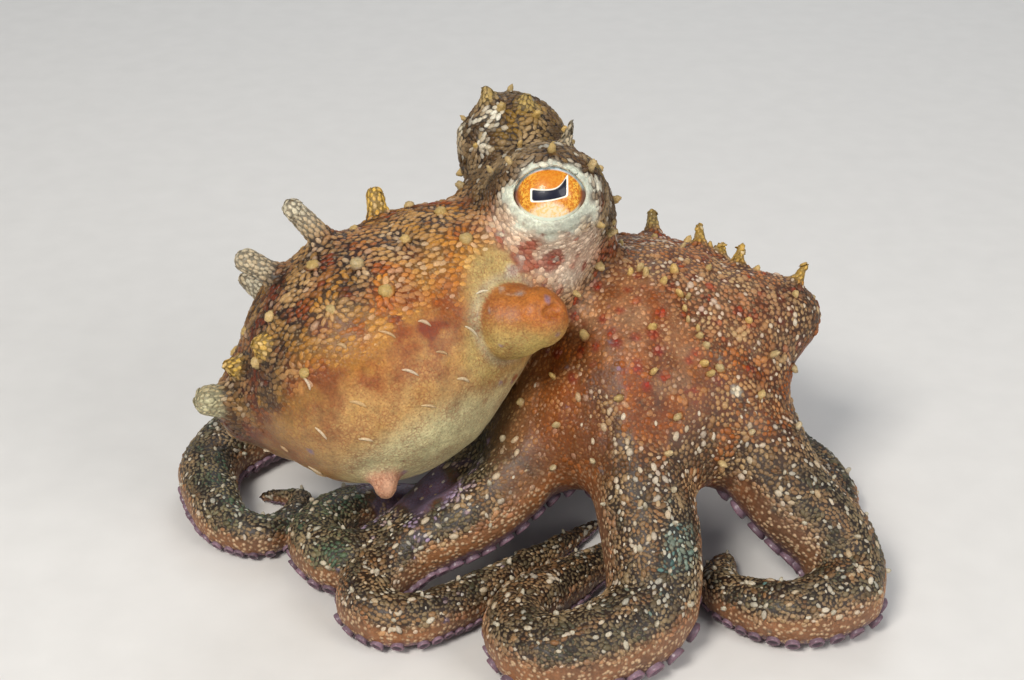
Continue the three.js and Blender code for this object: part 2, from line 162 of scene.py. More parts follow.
COLOURS = {
    "cream": paint_of(204, 172, 120),
    "low_belly": paint_of(206, 200, 160),
    "orange": paint_of(160, 100, 50),
    "rust": paint_of(126, 50, 20),
    "bark": paint_of(80, 50, 24),
    "grout": paint_of(30, 15, 7),
    "pale": paint_of(176, 148, 108),
    "white": paint_of(228, 222, 204),
    "ring": paint_of(226, 230, 212),
    "cheek": paint_of(220, 186, 162),
    "deep_red": paint_of(132, 36, 14),
    "web": paint_of(164, 92, 42),
    "brick": paint_of(94, 38, 18),
    "arm_back": paint_of(62, 55, 41),
    "arm_side": paint_of(138, 102, 80),
    "oral": paint_of(122, 100, 112),
    "green": paint_of(58, 78, 58),
    "siphon": paint_of(186, 118, 66),
    "siphon_low": paint_of(206, 182, 120),
    "collar": paint_of(188, 164, 110),
    "umber": paint_of(150, 80, 32),
    "ochre": paint_of(128, 98, 44),
    "skull": paint_of(74, 58, 32),
    "khaki": paint_of(150, 128, 80),
    "straw": paint_of(196, 160, 88),
    "ash": paint_of(180, 170, 148),
    "moss": paint_of(170, 164, 134),
    "teat": paint_of(206, 162, 134),
    "turquoise": paint_of(116, 172, 168),
    "lilac": paint_of(150, 132, 156),
    "peach": paint_of(190, 150, 116),
    "tan": paint_of(122, 84, 54),
    "gold": paint_of(182, 134, 72),
    "dot": paint_of(196, 164, 128),
    "sucker_rim": paint_of(120, 92, 104),
    "sucker_cup": paint_of(70, 54, 66),
}

PART_BLUR = 2.0  # how softly one part's colours turn into the next's
RICHNESS = 1.16  # how much stronger than painted every hue is on the skin
LILAC_WEB = ([-17.2, -23.2, 18.8], [-24.7, -8.2, 7.7])  # bare skin under the mantle
SHOULDER_WEB = ([17, -11, 59], [31, -29, 46])  # where the web is drawn smooth
FRONT_WEB = ([2, -20, 40], [9, -27, 30])

# Marks of colour on the skin: place, reach, colour, strength.
MARKS = [
    ([2.6, -17.8, 69.8], 2.9, "deep_red", 0.8),
    ([7.8, -16.6, 68.2], 2.9, "deep_red", 0.72),
    ([12.5, -15.5, 66], 1.5, "deep_red", 0.7),
    ([-2.0, -16.5, 71.5], 1.2, "deep_red", 0.5),
    ([-4.1, 9.5, 89], 3.0, "white", 0.85),
    ([-6.5, 5.5, 85.5], 2.0, "white", 0.8),
    ([2, 7, 88.3], 5.5, "ochre", 0.8),
    ([-15.8, -32.4, 61.4], 2.8, "rust", 0.9),
    ([-20, -34, 62], 2.0, "rust", 0.7),
    ([34.6, -49.8, 22.3], 5.0, "turquoise", 0.35),
    ([-58, -10, 9], 7.0, "green", 0.7),
    ([-36, -13.4, 10], 7.0, "green", 0.7),
    ([-17.2, -23.2, 18.8], 7.0, "lilac", 0.8),
    ([-24.7, -8.2, 7.7], 7.0, "lilac", 0.75),
    ([45.1, -22.4, 42.2], 1.6, "white", 1.0),
    ([0, -21, 69], 2.4, "white", 0.5),
    ([8.2, -30.4, 64.4], 1.9, "lilac", 0.7),
    ([53.5, -7.4, 55.3], 7.0, "brick", 0.5),
]

# ---- numbers that repeat from place to place ----


def clamp01(value):
    return np.clip(value, 0, 1)


def fade(low, high, value):
    t = clamp01((value - low) / (high - low))
    return t * t * (3 - 2 * t)


def smooth_min(a, b, blend):
    share = np.maximum(blend - np.abs(a - b), 0) / blend
    return np.minimum(a, b) - share * share * blend / 4


def smooth_max(a, b, blend):
    return -smooth_min(-a, -b, blend)


def lengths(vectors):
    return np.linalg.norm(vectors, axis=1)


def unit(vectors):
    return vectors / np.maximum(np.linalg.norm(vectors, axis=-1, keepdims=True), 1e-9)


def mix(a, b, share):
    return a + (b - a) * np.asarray(share)[..., None]


def layered(tint, *layers):
    """A tint with each named colour laid over it in turn, by its share."""
    for colour, share in layers:
        tint = mix(tint, COLOURS[colour], share)
    return tint


def scatter_number(cell, seed):
    """A repeatable number from -1 to 1 for each whole-numbered place."""
    mixed = cell[..., 0] * 73856093 ^ cell[..., 1] * 19349663 ^ cell[..., 2] * 83492791
    mixed = (mixed ^ seed * 2654435) & 0x7FFFFFFF
    mixed = (mixed ^ mixed >> 13) * 1274126177 & 0x7FFFFFFF
    return ((mixed ^ mixed >> 15) & 0xFFFF) / 32767.5 - 1


def noise(p, size, seed):
    """Smooth noise from -1 to 1, with swells about size across. Each use has a seed of its own."""
    cell = np.floor(p / size)
    t = p / size - cell
    t = t * t * (3 - 2 * t)
    cell = cell.astype(np.int64)
    total = 0
    for corner in np.ndindex(2, 2, 2):
        weight = np.prod(np.where(corner, t, 1 - t), axis=-1)
        total = total + weight * scatter_number(cell + np.array(corner), seed)
    return total


def spot_distance(p, size, seed):
    """Distance to the nearest of a scatter of points about size apart."""
    cell = np.floor(p / size).astype(np.int64)
    best = np.full(len(p), np.inf)
    for offset in np.ndindex(3, 3, 3):
        near = cell + np.array(offset) - 1
        jitter = np.stack([scatter_number(near, seed + axis) for axis in range(3)], -1)
        place = (near + 0.5 + 0.45 * jitter) * size
        best = np.minimum(best, lengths(p - place))
    return best


# ---- the body as depths below its surface (negative inside) ----


def along_list(values, t):
    values = np.asarray(values, float)
    place = clamp01(t) * (len(values) - 1)
    low = np.minimum(place.astype(int), len(values) - 2)
    return values[low] + (values[low + 1] - values[low]) * fade(0, 1, place - low)


def spaced_curve(points, stations):
    """Evenly spaced places along a Catmull-Rom curve through points, and its length."""
    points = np.array(points, float)
    ends = np.vstack([2 * points[0] - points[1], points, 2 * points[-1] - points[-2]])
    place = np.linspace(0, len(points) - 1, CURVE_SAMPLES)
    low = np.minimum(place.astype(int), len(points) - 2)
    t = (place - low)[:, None]
    before, a, b, after = (ends[low + i] for i in range(4))
    leave, arrive = (b - before) / 2, (after - a) / 2
    curve = (2 * a - 2 * b + leave + arrive) * t**3
    curve += (3 * b - 3 * a - 2 * leave - arrive) * t**2 + leave * t + a
    walked = np.r_[0, np.cumsum(lengths(np.diff(curve, axis=0)))]
    stops = np.linspace(0, walked[-1], stations + 1)
    return np.stack([np.interp(stops, walked, curve[:, k]) for k in range(3)], 1), walked[-1]


def tree_of(places):
    tree = KDTree(len(places))
    for number, place in enumerate(places):
        tree.insert(place, number)
    tree.balance()
    return tree


class Limb:
    """A smooth line of middles with a radius at each."""

    def __init__(self, points, radius_at, stations):
        self.middles, self.length = spaced_curve(points, stations)
        self.radii = radius_at(np.linspace(0, 1, stations + 1))

    def depths(self, p, segments):
        a, b = self.middles[segments], self.middles[segments + 1]
        ab = b - a
        away = p[:, None] - a
        t = clamp01((away * ab).sum(2) / (ab * ab).sum(1))
        radius = self.radii[segments] * (1 - t) + self.radii[segments + 1] * t
        gap = away - t[..., None] * ab
        depth = np.sqrt((gap * gap).sum(2)) - radius
        return depth, (segments + t) / (len(self.middles) - 1)

    def nearest(self, p, centre, reach, far):
        """Depth below the limb, and place along it, for points within reach of centre."""
        every = np.arange(len(self.middles) - 1)
        from_centre = self.depths(centre[None], every)[0][0]
        if from_centre.min() - reach > far:
            return np.full(len(p), from_centre.min()), np.zeros(len(p))
        near = every[from_centre < from_centre.min() + 2.2 * reach + 0.01]
        depth, along = self.depths(p, near)
        best = depth.argmin(1)
        rows = np.arange(len(p))
        return depth[rows, best], along[rows, best]

    def frames(self):
        """At each station: the way along, across, and away from the floor."""
        way = unit(np.gradient(self.middles, axis=0))
        across = unit(np.cross(way, [0, 0, 1]))
        return way, across, np.cross(across, way)


def make_arm(stout, taper, way):
    points = [CROWN] + [place if len(place) == 3 else place + [0] for place in way]
    swell = ARM_ROOT_RADIUS * stout - ARM_TIP_RADIUS
    arm = Limb(points, lambda t: ARM_TIP_RADIUS + swell * (1 - t) ** taper, ARM_STATIONS)
    arm.middles[:, 2] = -smooth_min(-arm.middles[:, 2], -ARM_SQUAT * arm.radii, ARM_LANDING_BLEND)
    return arm


arms = [make_arm(stout, taper, way) for stout, taper, _, way in ARMS.values()]
mantle = Limb(MANTLE_WAY, lambda t: along_list(MANTLE_RADII, t), MANTLE_STATIONS)
siphon = Limb(SIPHON_WAY, lambda t: along_list(SIPHON_RADII, t), SIPHON_STATIONS)
limbs = [*arms, mantle, siphon]
arm_frames = [np.stack(arm.frames(), 1) for arm in arms]
FAR = 36  # a limb further off than this has no part in the surface
BLOCK = 9.0  # points are worked out together in cubes this big


class Survey:
    """What each point of p has round it: every limb's depth and the place along it."""

    def __init__(self, p):
        self.p = p
        self.depth = np.empty((len(limbs), len(p)))
        self.along = np.empty((len(limbs), len(p)))
        _, label = np.unique(np.floor(p / BLOCK).astype(int), axis=0, return_inverse=True)
        label = label.ravel()
        order = np.argsort(label, kind="stable")
        for rows in np.split(order, np.flatnonzero(np.diff(label[order])) + 1):
            block = p[rows]
            centre = (block.min(0) + block.max(0)) / 2
            reach = lengths(block - centre).max()
            for index, limb in enumerate(limbs):
                found = limb.nearest(block, centre, reach, FAR)
                self.depth[index, rows], self.along[index, rows] = found
        self.mantle, self.siphon = self.depth[len(arms)], self.depth[len(arms) + 1]
        self.head = head_depth(p)
        self.arms = arms_depth(p, self.depth[:len(arms)])
        self.body = smooth_min(self.head, self.mantle, NECK_BLEND)
        self.body = np.minimum(self.body, smooth_min(self.arms, self.head, HEAD_BLEND))
        self.body = np.minimum(self.body, self.siphon)
        self.from_crown = lengths(p - CROWN)

    def arm(self):
        """The nearest arm, its frame there (way, across, up) and the place along it."""
        index = self.depth[:len(arms)].argmin(0)
        along = self.along[index, np.arange(len(index))]
        station = np.round(along * ARM_STATIONS).astype(int)
        return index, np.array(arm_frames)[index, station], along


def egg_depth(egg, p):
    """Depth below an egg given by its centre and three half axes."""
    q = (p - np.array(egg[0])) / egg[1]
    reach = lengths(q)
    steep = lengths(q / egg[1])
    return reach * (reach - 1) / np.maximum(steep, 1e-9)


def arms_depth(p, depths):
    web = WEB_BLEND * (1 - fade(WEB_FULL, WEB_END, lengths(p - CROWN))) + 0.01
    cap = smooth_min(egg_depth(CROWN_CAP, p), egg_depth(SHOULDER, p), SHOULDER_BLEND)
    joined = smooth_min(depths.min(0), cap, CAP_BLEND)
    for one, other in zip(depths, np.roll(depths, -1, axis=0)):
        joined = np.minimum(joined, smooth_min(one, other, web))
    return joined


def head_depth(p):
    joined = egg_depth(SKULL, p)
    for mound in (NEAR_MOUND, FAR_MOUND, CHEEK):
        joined = smooth_min(joined, egg_depth(mound, p), MOUND_BLEND)
    return joined


# ---- eyes: where they look, and the lids round them ----

OPENING = (6.6, 5.4)  # half width and half height of the gap between the lids
RING = (9.3, 7.7)  # the pale skin round the eye
RING_PLACE = (0.1, -1.1)
LID = 0.45  # thickness of the lids over the ball
LID_BLEND = 5.5
LID_EDGE = 0.35
LID_FRONT = 1.5  # the gap opens only this far out of the eye's middle
CREASE_TURN, CREASE_DEPTH = 21, 0.2  # the ring-shaped folds of the lids
LID_POINT = 0.16  # how far the corners of the gap are drawn out to points
GAZE_RISE = 29.5


class Eye:
    """An eye's own frame: forward along the head, up, and out of the head."""

    def __init__(self, name, centre, outward):
        rise = math.radians(GAZE_RISE)
        self.name = name
        self.centre = np.array(centre, float)
        self.gaze = np.array([-0.02, outward * math.cos(rise), math.sin(rise)])
        self.forward = unit(np.array([1.0, 0, 0]) - self.gaze[0] * self.gaze)
        self.up = np.cross(self.gaze, self.forward) * -outward

    def local(self, p):
        away = p - self.centre
        return away @ self.forward, away @ self.up, away @ self.gaze

    def oval(self, p, radii, place):
        """1 on an oval round the eye, less inside it."""
        x, y, _ = self.local(p)
        return np.hypot((x - place[0]) / radii[0], (y - place[1]) / radii[1])

    def wrinkles(self, p):
        """Fine folds that run outward round the eye, -1 to 1."""
        x, y, _ = self.local(p)
        reach = np.hypot(x, y) + 0.01
        return noise(np.stack([4 * x / reach, 4 * y / reach, 0.25 * reach], 1), 0.7, 14)

    def almond(self, x, y):
        """1 on the edge of the gap between the lids, less inside it."""
        across = np.abs(x) / OPENING[0]
        narrowing = 1 + LID_POINT * np.minimum(across, 1.2) ** 2
        return np.hypot(x / OPENING[0] / (1 + LID_POINT / 2), y * narrowing / OPENING[1])

    def lidded(self, p, flesh):
        """The flesh's depth with lids over the ball and a gap between them."""
        x, y, out = self.local(p)
        ball = np.sqrt(x * x + y * y + out * out)
        share = self.almond(x, y)
        creased = fade(1.1, 1.3, share) * (1 - fade(1.7, 2.1, share))
        creases = np.sin((share - 1) * CREASE_TURN) * creased
        creases = creases + self.wrinkles(p) * fade(1.15, 1.5, share)
        lid = ball - EYE_RADIUS - LID - CREASE_DEPTH * creases
        gap = np.maximum((share - 1) * OPENING[1], LID_FRONT - out)
        joined = smooth_min(flesh, lid, LID_BLEND)
        return smooth_max(joined, -gap, LID_EDGE)


eyes = [Eye("eye_near", NEAR_EYE, -1), Eye("eye_far", FAR_EYE, 1)]

# ---- spikes ----

SPIKE_ROOT = 2.5  # how deep a spike starts
SPIKE_BLEND = 2.6
SPIKE_FLARE = 1.02


class Spike:
    """A fleshy spike standing on the body."""

    def __init__(self, root, axis, length, base, tip, colour):
        self.root, self.axis, self.length = root, axis, length
        self.base, self.tip, self.colour = base, tip, colour

    def depth(self, p):
        away = p - self.root
        t = clamp01((away @ self.axis) / self.length)
        gap = away - (t * self.length)[:, None] * self.axis
        return lengths(gap) - self.base * (1 - t) - self.tip * t


def direction(azimuth, height):
    turn, rise = math.radians(azimuth), math.radians(height)
    flat = math.cos(rise)
    return np.array([flat * math.cos(turn), flat * math.sin(turn), math.sin(rise)])


def make_spikes():
    spikes = []
    distances = np.arange(2, 60, 0.2)
    for middle, rows in SPIKES.values():
        for azimuth, height, length, base, tip, lean, colour in rows:
            out = direction(azimuth, height)
            ray = np.array(middle) + distances[:, None] * out
            surface = ray[np.argmax(Survey(ray).body > 0)]
            axis = unit(out + np.array(lean, float))
            whole = length + SPIKE_ROOT - tip
            root = surface - out * SPIKE_ROOT
            spikes.append(Spike(root, axis, whole, base * SPIKE_FLARE, tip * SPIKE_FLARE, colour))
    return spikes


spikes = make_spikes()

# ---- the skin's shape ----

SIPHON_MOUTH = unit(np.array([0.5, -0.62, 0.6]))
SIPHON_MOUTH_RADII = (1.9, 1.2)
SIPHON_MOUTH_DEEP, SIPHON_MOUTH_OUT, SIPHON_MOUTH_BLEND = 1.6, 6, 1.2
FLOOR_BLEND = 1.0
BELLY_WAY = unit(np.array([0.55, -0.45, -0.7]))
MANTLE_MIDDLE = np.array([-29.0, -16, 46])


def relief(survey):
    """How far the flesh swells above the plain body, in millimetres."""
    p = survey.p
    swell = 0.32 * noise(p, 7, 1) + 0.16 * noise(p, 2.8, 2)
    streaks = noise(p * [1, 1, 0.35], 1.9, 3)
    on_arms = fade(-1, 2, np.minimum(survey.mantle, survey.head) - survey.arms)
    return swell + 0.18 * streaks * on_arms


def skin_depth(p):
    """Depth below the finished skin, lids, spikes and siphon's mouth included."""
    survey = Survey(p)
    flesh = survey.body + COAT_DEPTH - relief(survey)
    for spike in spikes:
        flesh = smooth_min(flesh, spike.depth(p), SPIKE_BLEND)
    for eye in eyes:
        flesh = eye.lidded(p, flesh)
    mouth = siphon.middles[-1] + SIPHON_MOUTH * SIPHON_MOUTH_OUT
    away = p - mouth
    deep = away @ SIPHON_MOUTH
    across = unit(np.cross(SIPHON_MOUTH, [0, 0, 1]))
    rise = np.cross(across, SIPHON_MOUTH)
    oval = np.hypot(away @ across / SIPHON_MOUTH_RADII[0], away @ rise / SIPHON_MOUTH_RADII[1])
    hole = np.maximum((oval - 1) * SIPHON_MOUTH_RADII[1], np.abs(deep) - SIPHON_MOUTH_DEEP)
    flesh = smooth_max(flesh, -hole, SIPHON_MOUTH_BLEND)
    return smooth_max(flesh, SKIN_FLOOR - p[:, 2], FLOOR_BLEND)


def stops(axis, low, high):
    """Grid places along an axis, closer together where the head is."""
    fine_low, fine_high = FINE_ZONE[axis]
    parts = [
        np.linspace(low, fine_low, int((fine_low - low) / STEP), endpoint=False),
        np.linspace(fine_low, fine_high, int((fine_high - fine_low) / FINE_STEP), endpoint=False),
        np.linspace(fine_high, high, max(int((high - fine_high) / STEP), 2)),
    ]
    return np.concatenate(parts)


def resample(values, axis, old, new):
    """Linear resampling of a block of values along one axis."""
    place = np.interp(new, old, np.arange(len(old)))
    low = np.minimum(place.astype(int), len(old) - 2)
    share = (place - low).reshape([-1 if k == axis else 1 for k in range(3)])
    return np.take(values, low, axis) * (1 - share) + np.take(values, low + 1, axis) * share


def points_of(axes, where=None):
    grid = np.meshgrid(*axes, indexing="ij")
    if where is None:
        return np.stack([g.ravel() for g in grid], 1)
    return np.stack([g[where] for g in grid], 1)


def skin_surface():
    """The skin's vertices in millimetres and its four-sided faces."""
    lows, highs = body_low - MARGIN, body_high + MARGIN
    coarse = [np.arange(a, b + COARSE_STEP, COARSE_STEP) for a, b in zip(lows, highs)]
    field = skin_depth(points_of(coarse)).reshape([len(c) for c in coarse])
    fine = [stops(axis, lows[axis], highs[axis]) for axis in range(3)]
    for axis in range(3):
        field = resample(field, axis, coarse[axis], fine[axis])
    near = np.abs(field) < BAND
    field[near] = skin_depth(points_of(fine, near))
    grid = openvdb.FloatGrid()
    grid.copyFromArray(field.astype(np.float32))
    places, faces = grid.convertToQuads(0.0)[:2]
    places = np.asarray(places, float)
    faces = np.asarray(faces)
    spots = [np.interp(places[:, k], np.arange(len(fine[k])), fine[k]) for k in range(3)]
    return np.stack(spots, 1), faces


def vertex_normals(vertices, faces):
    corners = vertices[faces]
    cross = np.cross(corners[:, 2] - corners[:, 0], corners[:, 3] - corners[:, 1])
    normals = np.zeros_like(vertices)
    for corner in range(4):
        for axis in range(3):
            total = np.bincount(faces[:, corner], cross[:, axis], len(vertices))
            normals[:, axis] += total
    return unit(normals)


# ---- what each place on the skin looks like ----


def capsule_share(p, a, b, inner, outer):
    """1 near the line from a to b, and 0 away from it."""
    a, b = np.array(a, float), np.array(b, float)
    t = clamp01((p - a) @ (b - a) / ((b - a) @ (b - a)))
    return 1 - fade(inner, outer, lengths(p - a - t[:, None] * (b - a)))


class Look:
    """Colour, pebble cover and spacing for points with known normals."""

    def __init__(self, p, normals):
        survey = Survey(p)
        parts = np.stack([survey.mantle, survey.head, survey.arms, survey.siphon])
        weights = np.exp(-(parts - parts.min(0)) / PART_BLUR)
        self.on_mantle, self.on_head, self.on_arms, self.on_siphon = weights / weights.sum(0)
        index, frames, along = survey.arm()
        self.way = frames[:, 0]
        self.along, self.arm_index = along, index
        self.facing = (normals * frames[:, 2]).sum(1)
        self.belly = (unit(p - MANTLE_MIDDLE) @ BELLY_WAY) + 0.08 * noise(p, 9, 11)
        self.far_out = fade(30, 52, survey.from_crown)
        self.wrinkles = np.zeros(len(p))
        self.ring, self.lid = np.zeros(len(p)), np.zeros(len(p))
        for eye in eyes:
            oval = eye.oval(p, RING, RING_PLACE)
            wrinkle = eye.wrinkles(p)
            oval = oval + 0.1 * noise(p, 3.4, 12) + 0.07 * noise(p, 1.5, 13) + 0.16 * wrinkle
            front = fade(-1.5, 1.5, eye.local(p)[2])
            near = 1 - fade(13, 15, lengths(p - eye.centre))
            self.ring = np.maximum(self.ring, (1 - fade(0.85, 1.15, oval)) * front * near)
            self.lid = np.maximum(self.lid, (1 - fade(0.84, 1.02, oval)) * front * near)
            self.wrinkles += wrinkle * near
        self.smooth_web = np.maximum(
            capsule_share(p, *SHOULDER_WEB, 9, 14), capsule_share(p, *FRONT_WEB, 11, 17))
        self.collar = capsule_share(p, [-3, -22, 68], [-4, -29, 54], 4, 8) * (self.on_siphon < 0.6)
        self.cheek = capsule_share(p, [-1, -18, 72], [14, -15, 67], 5, 11) * self.on_head
        self.lid = np.maximum(self.lid, capsule_share(p, *LILAC_WEB, 6, 9) * self.on_arms)
        self.on_top = fade(0.25, 0.7, normals[:, 2]) * fade(46, 54, p[:, 2]) * self.on_arms
        self.on_spikes = []
        self.spike_share, self.spike_way = np.zeros(len(p)), np.zeros_like(p)
        for spike in spikes:
            along_spike = clamp01((p - spike.root) @ spike.axis / spike.length)
            share = (1 - fade(0.3, 1.8, spike.depth(p))) * fade(0.2, 0.6, along_spike)
            self.on_spikes.append(share)
            if spike.colour == "teat":
                self.lid = np.maximum(self.lid, share)
            self.spike_share = np.maximum(self.spike_share, share)
            self.spike_way += share[:, None] * spike.axis
        lateral = (normals * frames[:, 1]).sum(1)
        strand = np.stack([along * 13, lateral * 4, index * 7.0], 1)
        self.streak = clamp01(0.5 + noise(strand, 1.0, 24) + 0.35 * noise(p, 1.6, 25))
        self.mottle = clamp01(0.5 + 0.8 * noise(p, 4.2, 26) + 0.5 * noise(p, 1.8, 27))
        self.p, self.normals, self.survey = p, normals, survey
        self.cover = self.pebble_cover()
        self.bold = self.pebble_boldness()
        self.spacing = self.pebble_spacing()
        self.tint = self.colour()

    def pebble_cover(self):
        mantle_cover = 1 - fade(-0.2, 0.22, self.belly)
        head_cover = 1 - 0.45 * self.cheek
        dorsal = fade(0.1, 0.5, self.facing)
        arm_cover = dorsal * (1 - 0.35 * self.smooth_web)
        cover = self.on_mantle * mantle_cover + self.on_head * head_cover + self.on_arms * arm_cover
        return cover * (1 - self.collar) * (1 - self.lid) * fade(0.6, 1.4, self.p[:, 2])

    def pebble_boldness(self):
        mantle_bold = 1 - 0.9 * fade(-0.5, 0.15, self.belly)
        arm_bold = 1 - 0.6 * self.smooth_web
        bold = self.on_mantle * mantle_bold + self.on_arms * arm_bold
        bold = bold + self.on_head * (1 - 0.85 * np.maximum(self.cheek, self.ring))
        return bold * (1 - 0.4 * self.spike_share)

    def ground(self):
        """The colour between the pebbles."""
        dark = 1 - 0.45 * self.on_mantle * fade(-0.55, 0.0, self.belly)
        dark = dark * (1 - 0.4 * self.on_arms * (1 - self.far_out))
        return mix(self.tint * 0.8, COLOURS["grout"], 0.85 * self.cover * self.bold * dark)

    def pebble_spacing(self):
        arm_spacing = 1.0 - 0.14 * self.far_out - 0.1 * self.smooth_web
        head_spacing = 0.96 - 0.12 * self.cheek
        spacing = 1.12 * self.on_mantle + head_spacing * self.on_head + arm_spacing * self.on_arms
        spacing = spacing + 1.7 * self.on_siphon
        return np.maximum(spacing * (1 - 0.25 * self.spike_share), 0.8)

    def mantle_colour(self, patchy):
        # Darker towards the mantle's left end (low x). This is partly its dark brown skin and partly
        # painted shade.
        lit = self.belly + 0.35 * patchy - 0.75 * fade(-38, -53, self.p[:, 0])
        low = fade(-0.1, 0.5, self.belly + 0.25 * patchy)
        rusty = fade(0.5, 0.85, self.mottle) * (1 - fade(0.35, 0.75, self.belly))
        mantle = layered(
            COLOURS["bark"],
            ("orange", fade(-0.7, -0.1, lit)),
            ("gold", 0.6 * fade(0.45, 0.1, self.mottle)),
            ("cream", low * (0.45 + 0.55 * self.mottle)),
            ("rust", rusty * (0.45 - 0.25 * clamp01(self.belly)) * 1.4),
            ("cream", fade(0.5, 0.85, self.belly + 0.15 * patchy)),
            ("low_belly", 0.9 * fade(0.55, 0.8, self.belly)))
        # The mantle is darkened again towards its left end, partly as painted shade.
        return mantle * (1 - 0.42 * fade(-26, -50, self.p[:, 0]))[:, None]

    def head_colour(self, patchy, blotch):
        p = self.p
        rusty = 0.7 * fade(0.1, 0.5, patchy) * fade(82, 74, p[:, 2])
        head = layered(COLOURS["skull"], ("bark", blotch), ("rust", rusty)) * 0.85
        cheek = mix(COLOURS["cheek"], COLOURS["white"], 0.2 + 0.4 * self.mottle)
        head = mix(head, cheek, self.cheek)
        low_head = (1 - fade(66, 74, p[:, 2])) * fade(-4, -12, p[:, 1])
        return layered(head, ("peach", 0.75 * low_head * (1 - self.cheek)))

    def crown_colour(self, broad):
        """The crown, the web and the arms' roots."""
        under = (1 - fade(-0.5, 0.0, self.facing)) * (1 - fade(-0.45, -0.1, self.normals[:, 2]))
        streaky = fade(0.3, 0.7, self.streak) * fade(20, 38, self.survey.from_crown)
        crown = layered(
            COLOURS["web"],
            ("brick", 0.4 * fade(0.45, 0.8, self.mottle + 0.3 * broad)),
            ("peach", 0.45 * fade(0.15, 0.55, noise(self.p, 5, 28))),
            ("peach", 0.5 * self.on_top * (1 - self.mottle)),
            ("arm_back", 0.8 * streaky),
            ("umber", 0.8 * capsule_share(self.p, *FRONT_WEB, 8, 18)))
        return layered(crown * 0.74, ("oral", under))

    def arm_colour(self, patchy, blotch):
        greens = np.array([green for _, _, green, _ in ARMS.values()])[self.arm_index]
        tanned = 0.7 * fade(0.55, 0.85, self.streak) * (1 - greens)
        back = layered(
            COLOURS["arm_back"], ("green", greens * fade(-0.2, 0.5, patchy + 0.3)), ("tan", tanned))
        side = layered(COLOURS["arm_side"], ("orange", 0.4 * blotch))
        side = mix(side, COLOURS["tan"] * 0.8, 0.7 * greens)
        outer = mix(side, back, fade(0.3, 0.62, self.facing + 0.16 * patchy))
        return layered(outer, ("oral", 1 - fade(-0.62, -0.3, self.facing)))

    def siphon_colour(self, fine):
        lift = (self.survey.p - siphon.middles[-1]) @ np.array([0.1, 0.3, 0.95])
        return layered(COLOURS["siphon"], ("siphon_low", 1 - fade(-5, 1.5, lift + 0.6 * fine)))

    def colour(self):
        p = self.p
        broad, patchy, fine = noise(p, 14, 21), noise(p, 6, 22), noise(p, 2.2, 23)
        blotch = clamp01(0.5 + 0.5 * broad + 0.4 * patchy)
        arm = mix(self.crown_colour(broad), self.arm_colour(patchy, blotch), self.far_out)
        parts = [
            (self.mantle_colour(patchy), self.on_mantle),
            (self.head_colour(patchy, blotch), self.on_head),
            (arm, self.on_arms),
            (self.siphon_colour(fine), self.on_siphon)]
        tint = sum(part * share[:, None] for part, share in parts)
        rim = fade(0.25, 0.45, self.on_siphon) * (1 - fade(0.5, 0.7, self.on_siphon))
        specks = 1 - fade(0.6, 1.7, spot_distance(p, 4.0, 31) + 0.4 * fine)
        reddened = np.maximum(self.smooth_web, 0.85 * self.on_arms * (1 - self.far_out))
        tint = layered(
            tint,
            ("collar", self.collar),
            ("ash", 0.5 * rim * (p[:, 0] < 4)),
            ("deep_red", 0.85 * specks * reddened * fade(40, 46, p[:, 2])))
        pale_skin = mix(COLOURS["white"], COLOURS["ring"], self.lid * (1 - clamp01(self.wrinkles)))
        tint = mix(tint, pale_skin * (1 - 0.22 * clamp01(self.wrinkles))[:, None], self.ring)
        for place, reach, colour, strength in MARKS:
            away = lengths(p - place) * (1 + 0.85 * fine + 0.3 * self.streak - 0.15)
            tint = layered(tint, (colour, strength * (1 - fade(0.55 * reach, 1.15 * reach, away))))
        for spike, share in zip(spikes, self.on_spikes):
            tint = layered(tint, (spike.colour, share))
        tint = tint * (1 + 0.15 * broad + 0.18 * patchy + 0.15 * fine)[:, None]
        grey = tint.mean(1, keepdims=True)
        return np.maximum(grey + RICHNESS * (tint - grey), 0)


# ---- meshes ----

shift = np.array(sum(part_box("eye_near"), Vector())) / 2 / MM - NEAR_EYE
body_low = np.array(cad_box[0]) / MM - shift
body_high = np.array(cad_box[1]) / MM - shift
flesh_nodes = sorted(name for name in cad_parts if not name.startswith("eye"))


def make_piece(name, vertices, faces, material, replaces=(), attributes=(), uv=None):
    """A mesh piece from vertices in millimetres and faces that all have as many corners."""
    faces = np.asarray(faces)
    mesh = bpy.data.meshes.new(name)
    mesh.vertices.add(len(vertices))
    mesh.vertices.foreach_set("co", ((vertices + shift) * MM).astype(np.float32).ravel())
    mesh.loops.add(faces.size)
    mesh.loops.foreach_set("vertex_index", faces.astype(np.int32).ravel())
    mesh.polygons.add(len(faces))
    mesh.polygons.foreach_set("loop_start", np.arange(0, faces.size, faces.shape[1], dtype=np.int32))
    mesh.update(calc_edges=True)
    mesh.validate()
    for key, values in dict(attributes).items():
        if values.ndim == 2:
            layer = mesh.color_attributes.new(key, "FLOAT_COLOR", "POINT")
            rgba = np.hstack([np.maximum(values, 0), np.ones((len(values), 1))])
            layer.data.foreach_set("color", rgba.astype(np.float32).ravel())
        else:
            layer = mesh.attributes.new(key, "FLOAT", "POINT")
            layer.data.foreach_set("value", values.astype(np.float32))
    if uv is not None:
        layer = mesh.uv_layers.new(name="OFBake")
        layer.data.foreach_set("uv", uv[faces.ravel()].astype(np.float32).ravel())
    mesh.polygons.foreach_set("use_smooth", np.ones(len(faces), bool))
    mesh.materials.append(material)
    piece = bpy.data.objects.new(name, mesh)
    bpy.context.scene.collection.objects.link(piece)
    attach(piece, "root")
    if replaces:
        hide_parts(*replaces)
    return piece


# ---- materials ----


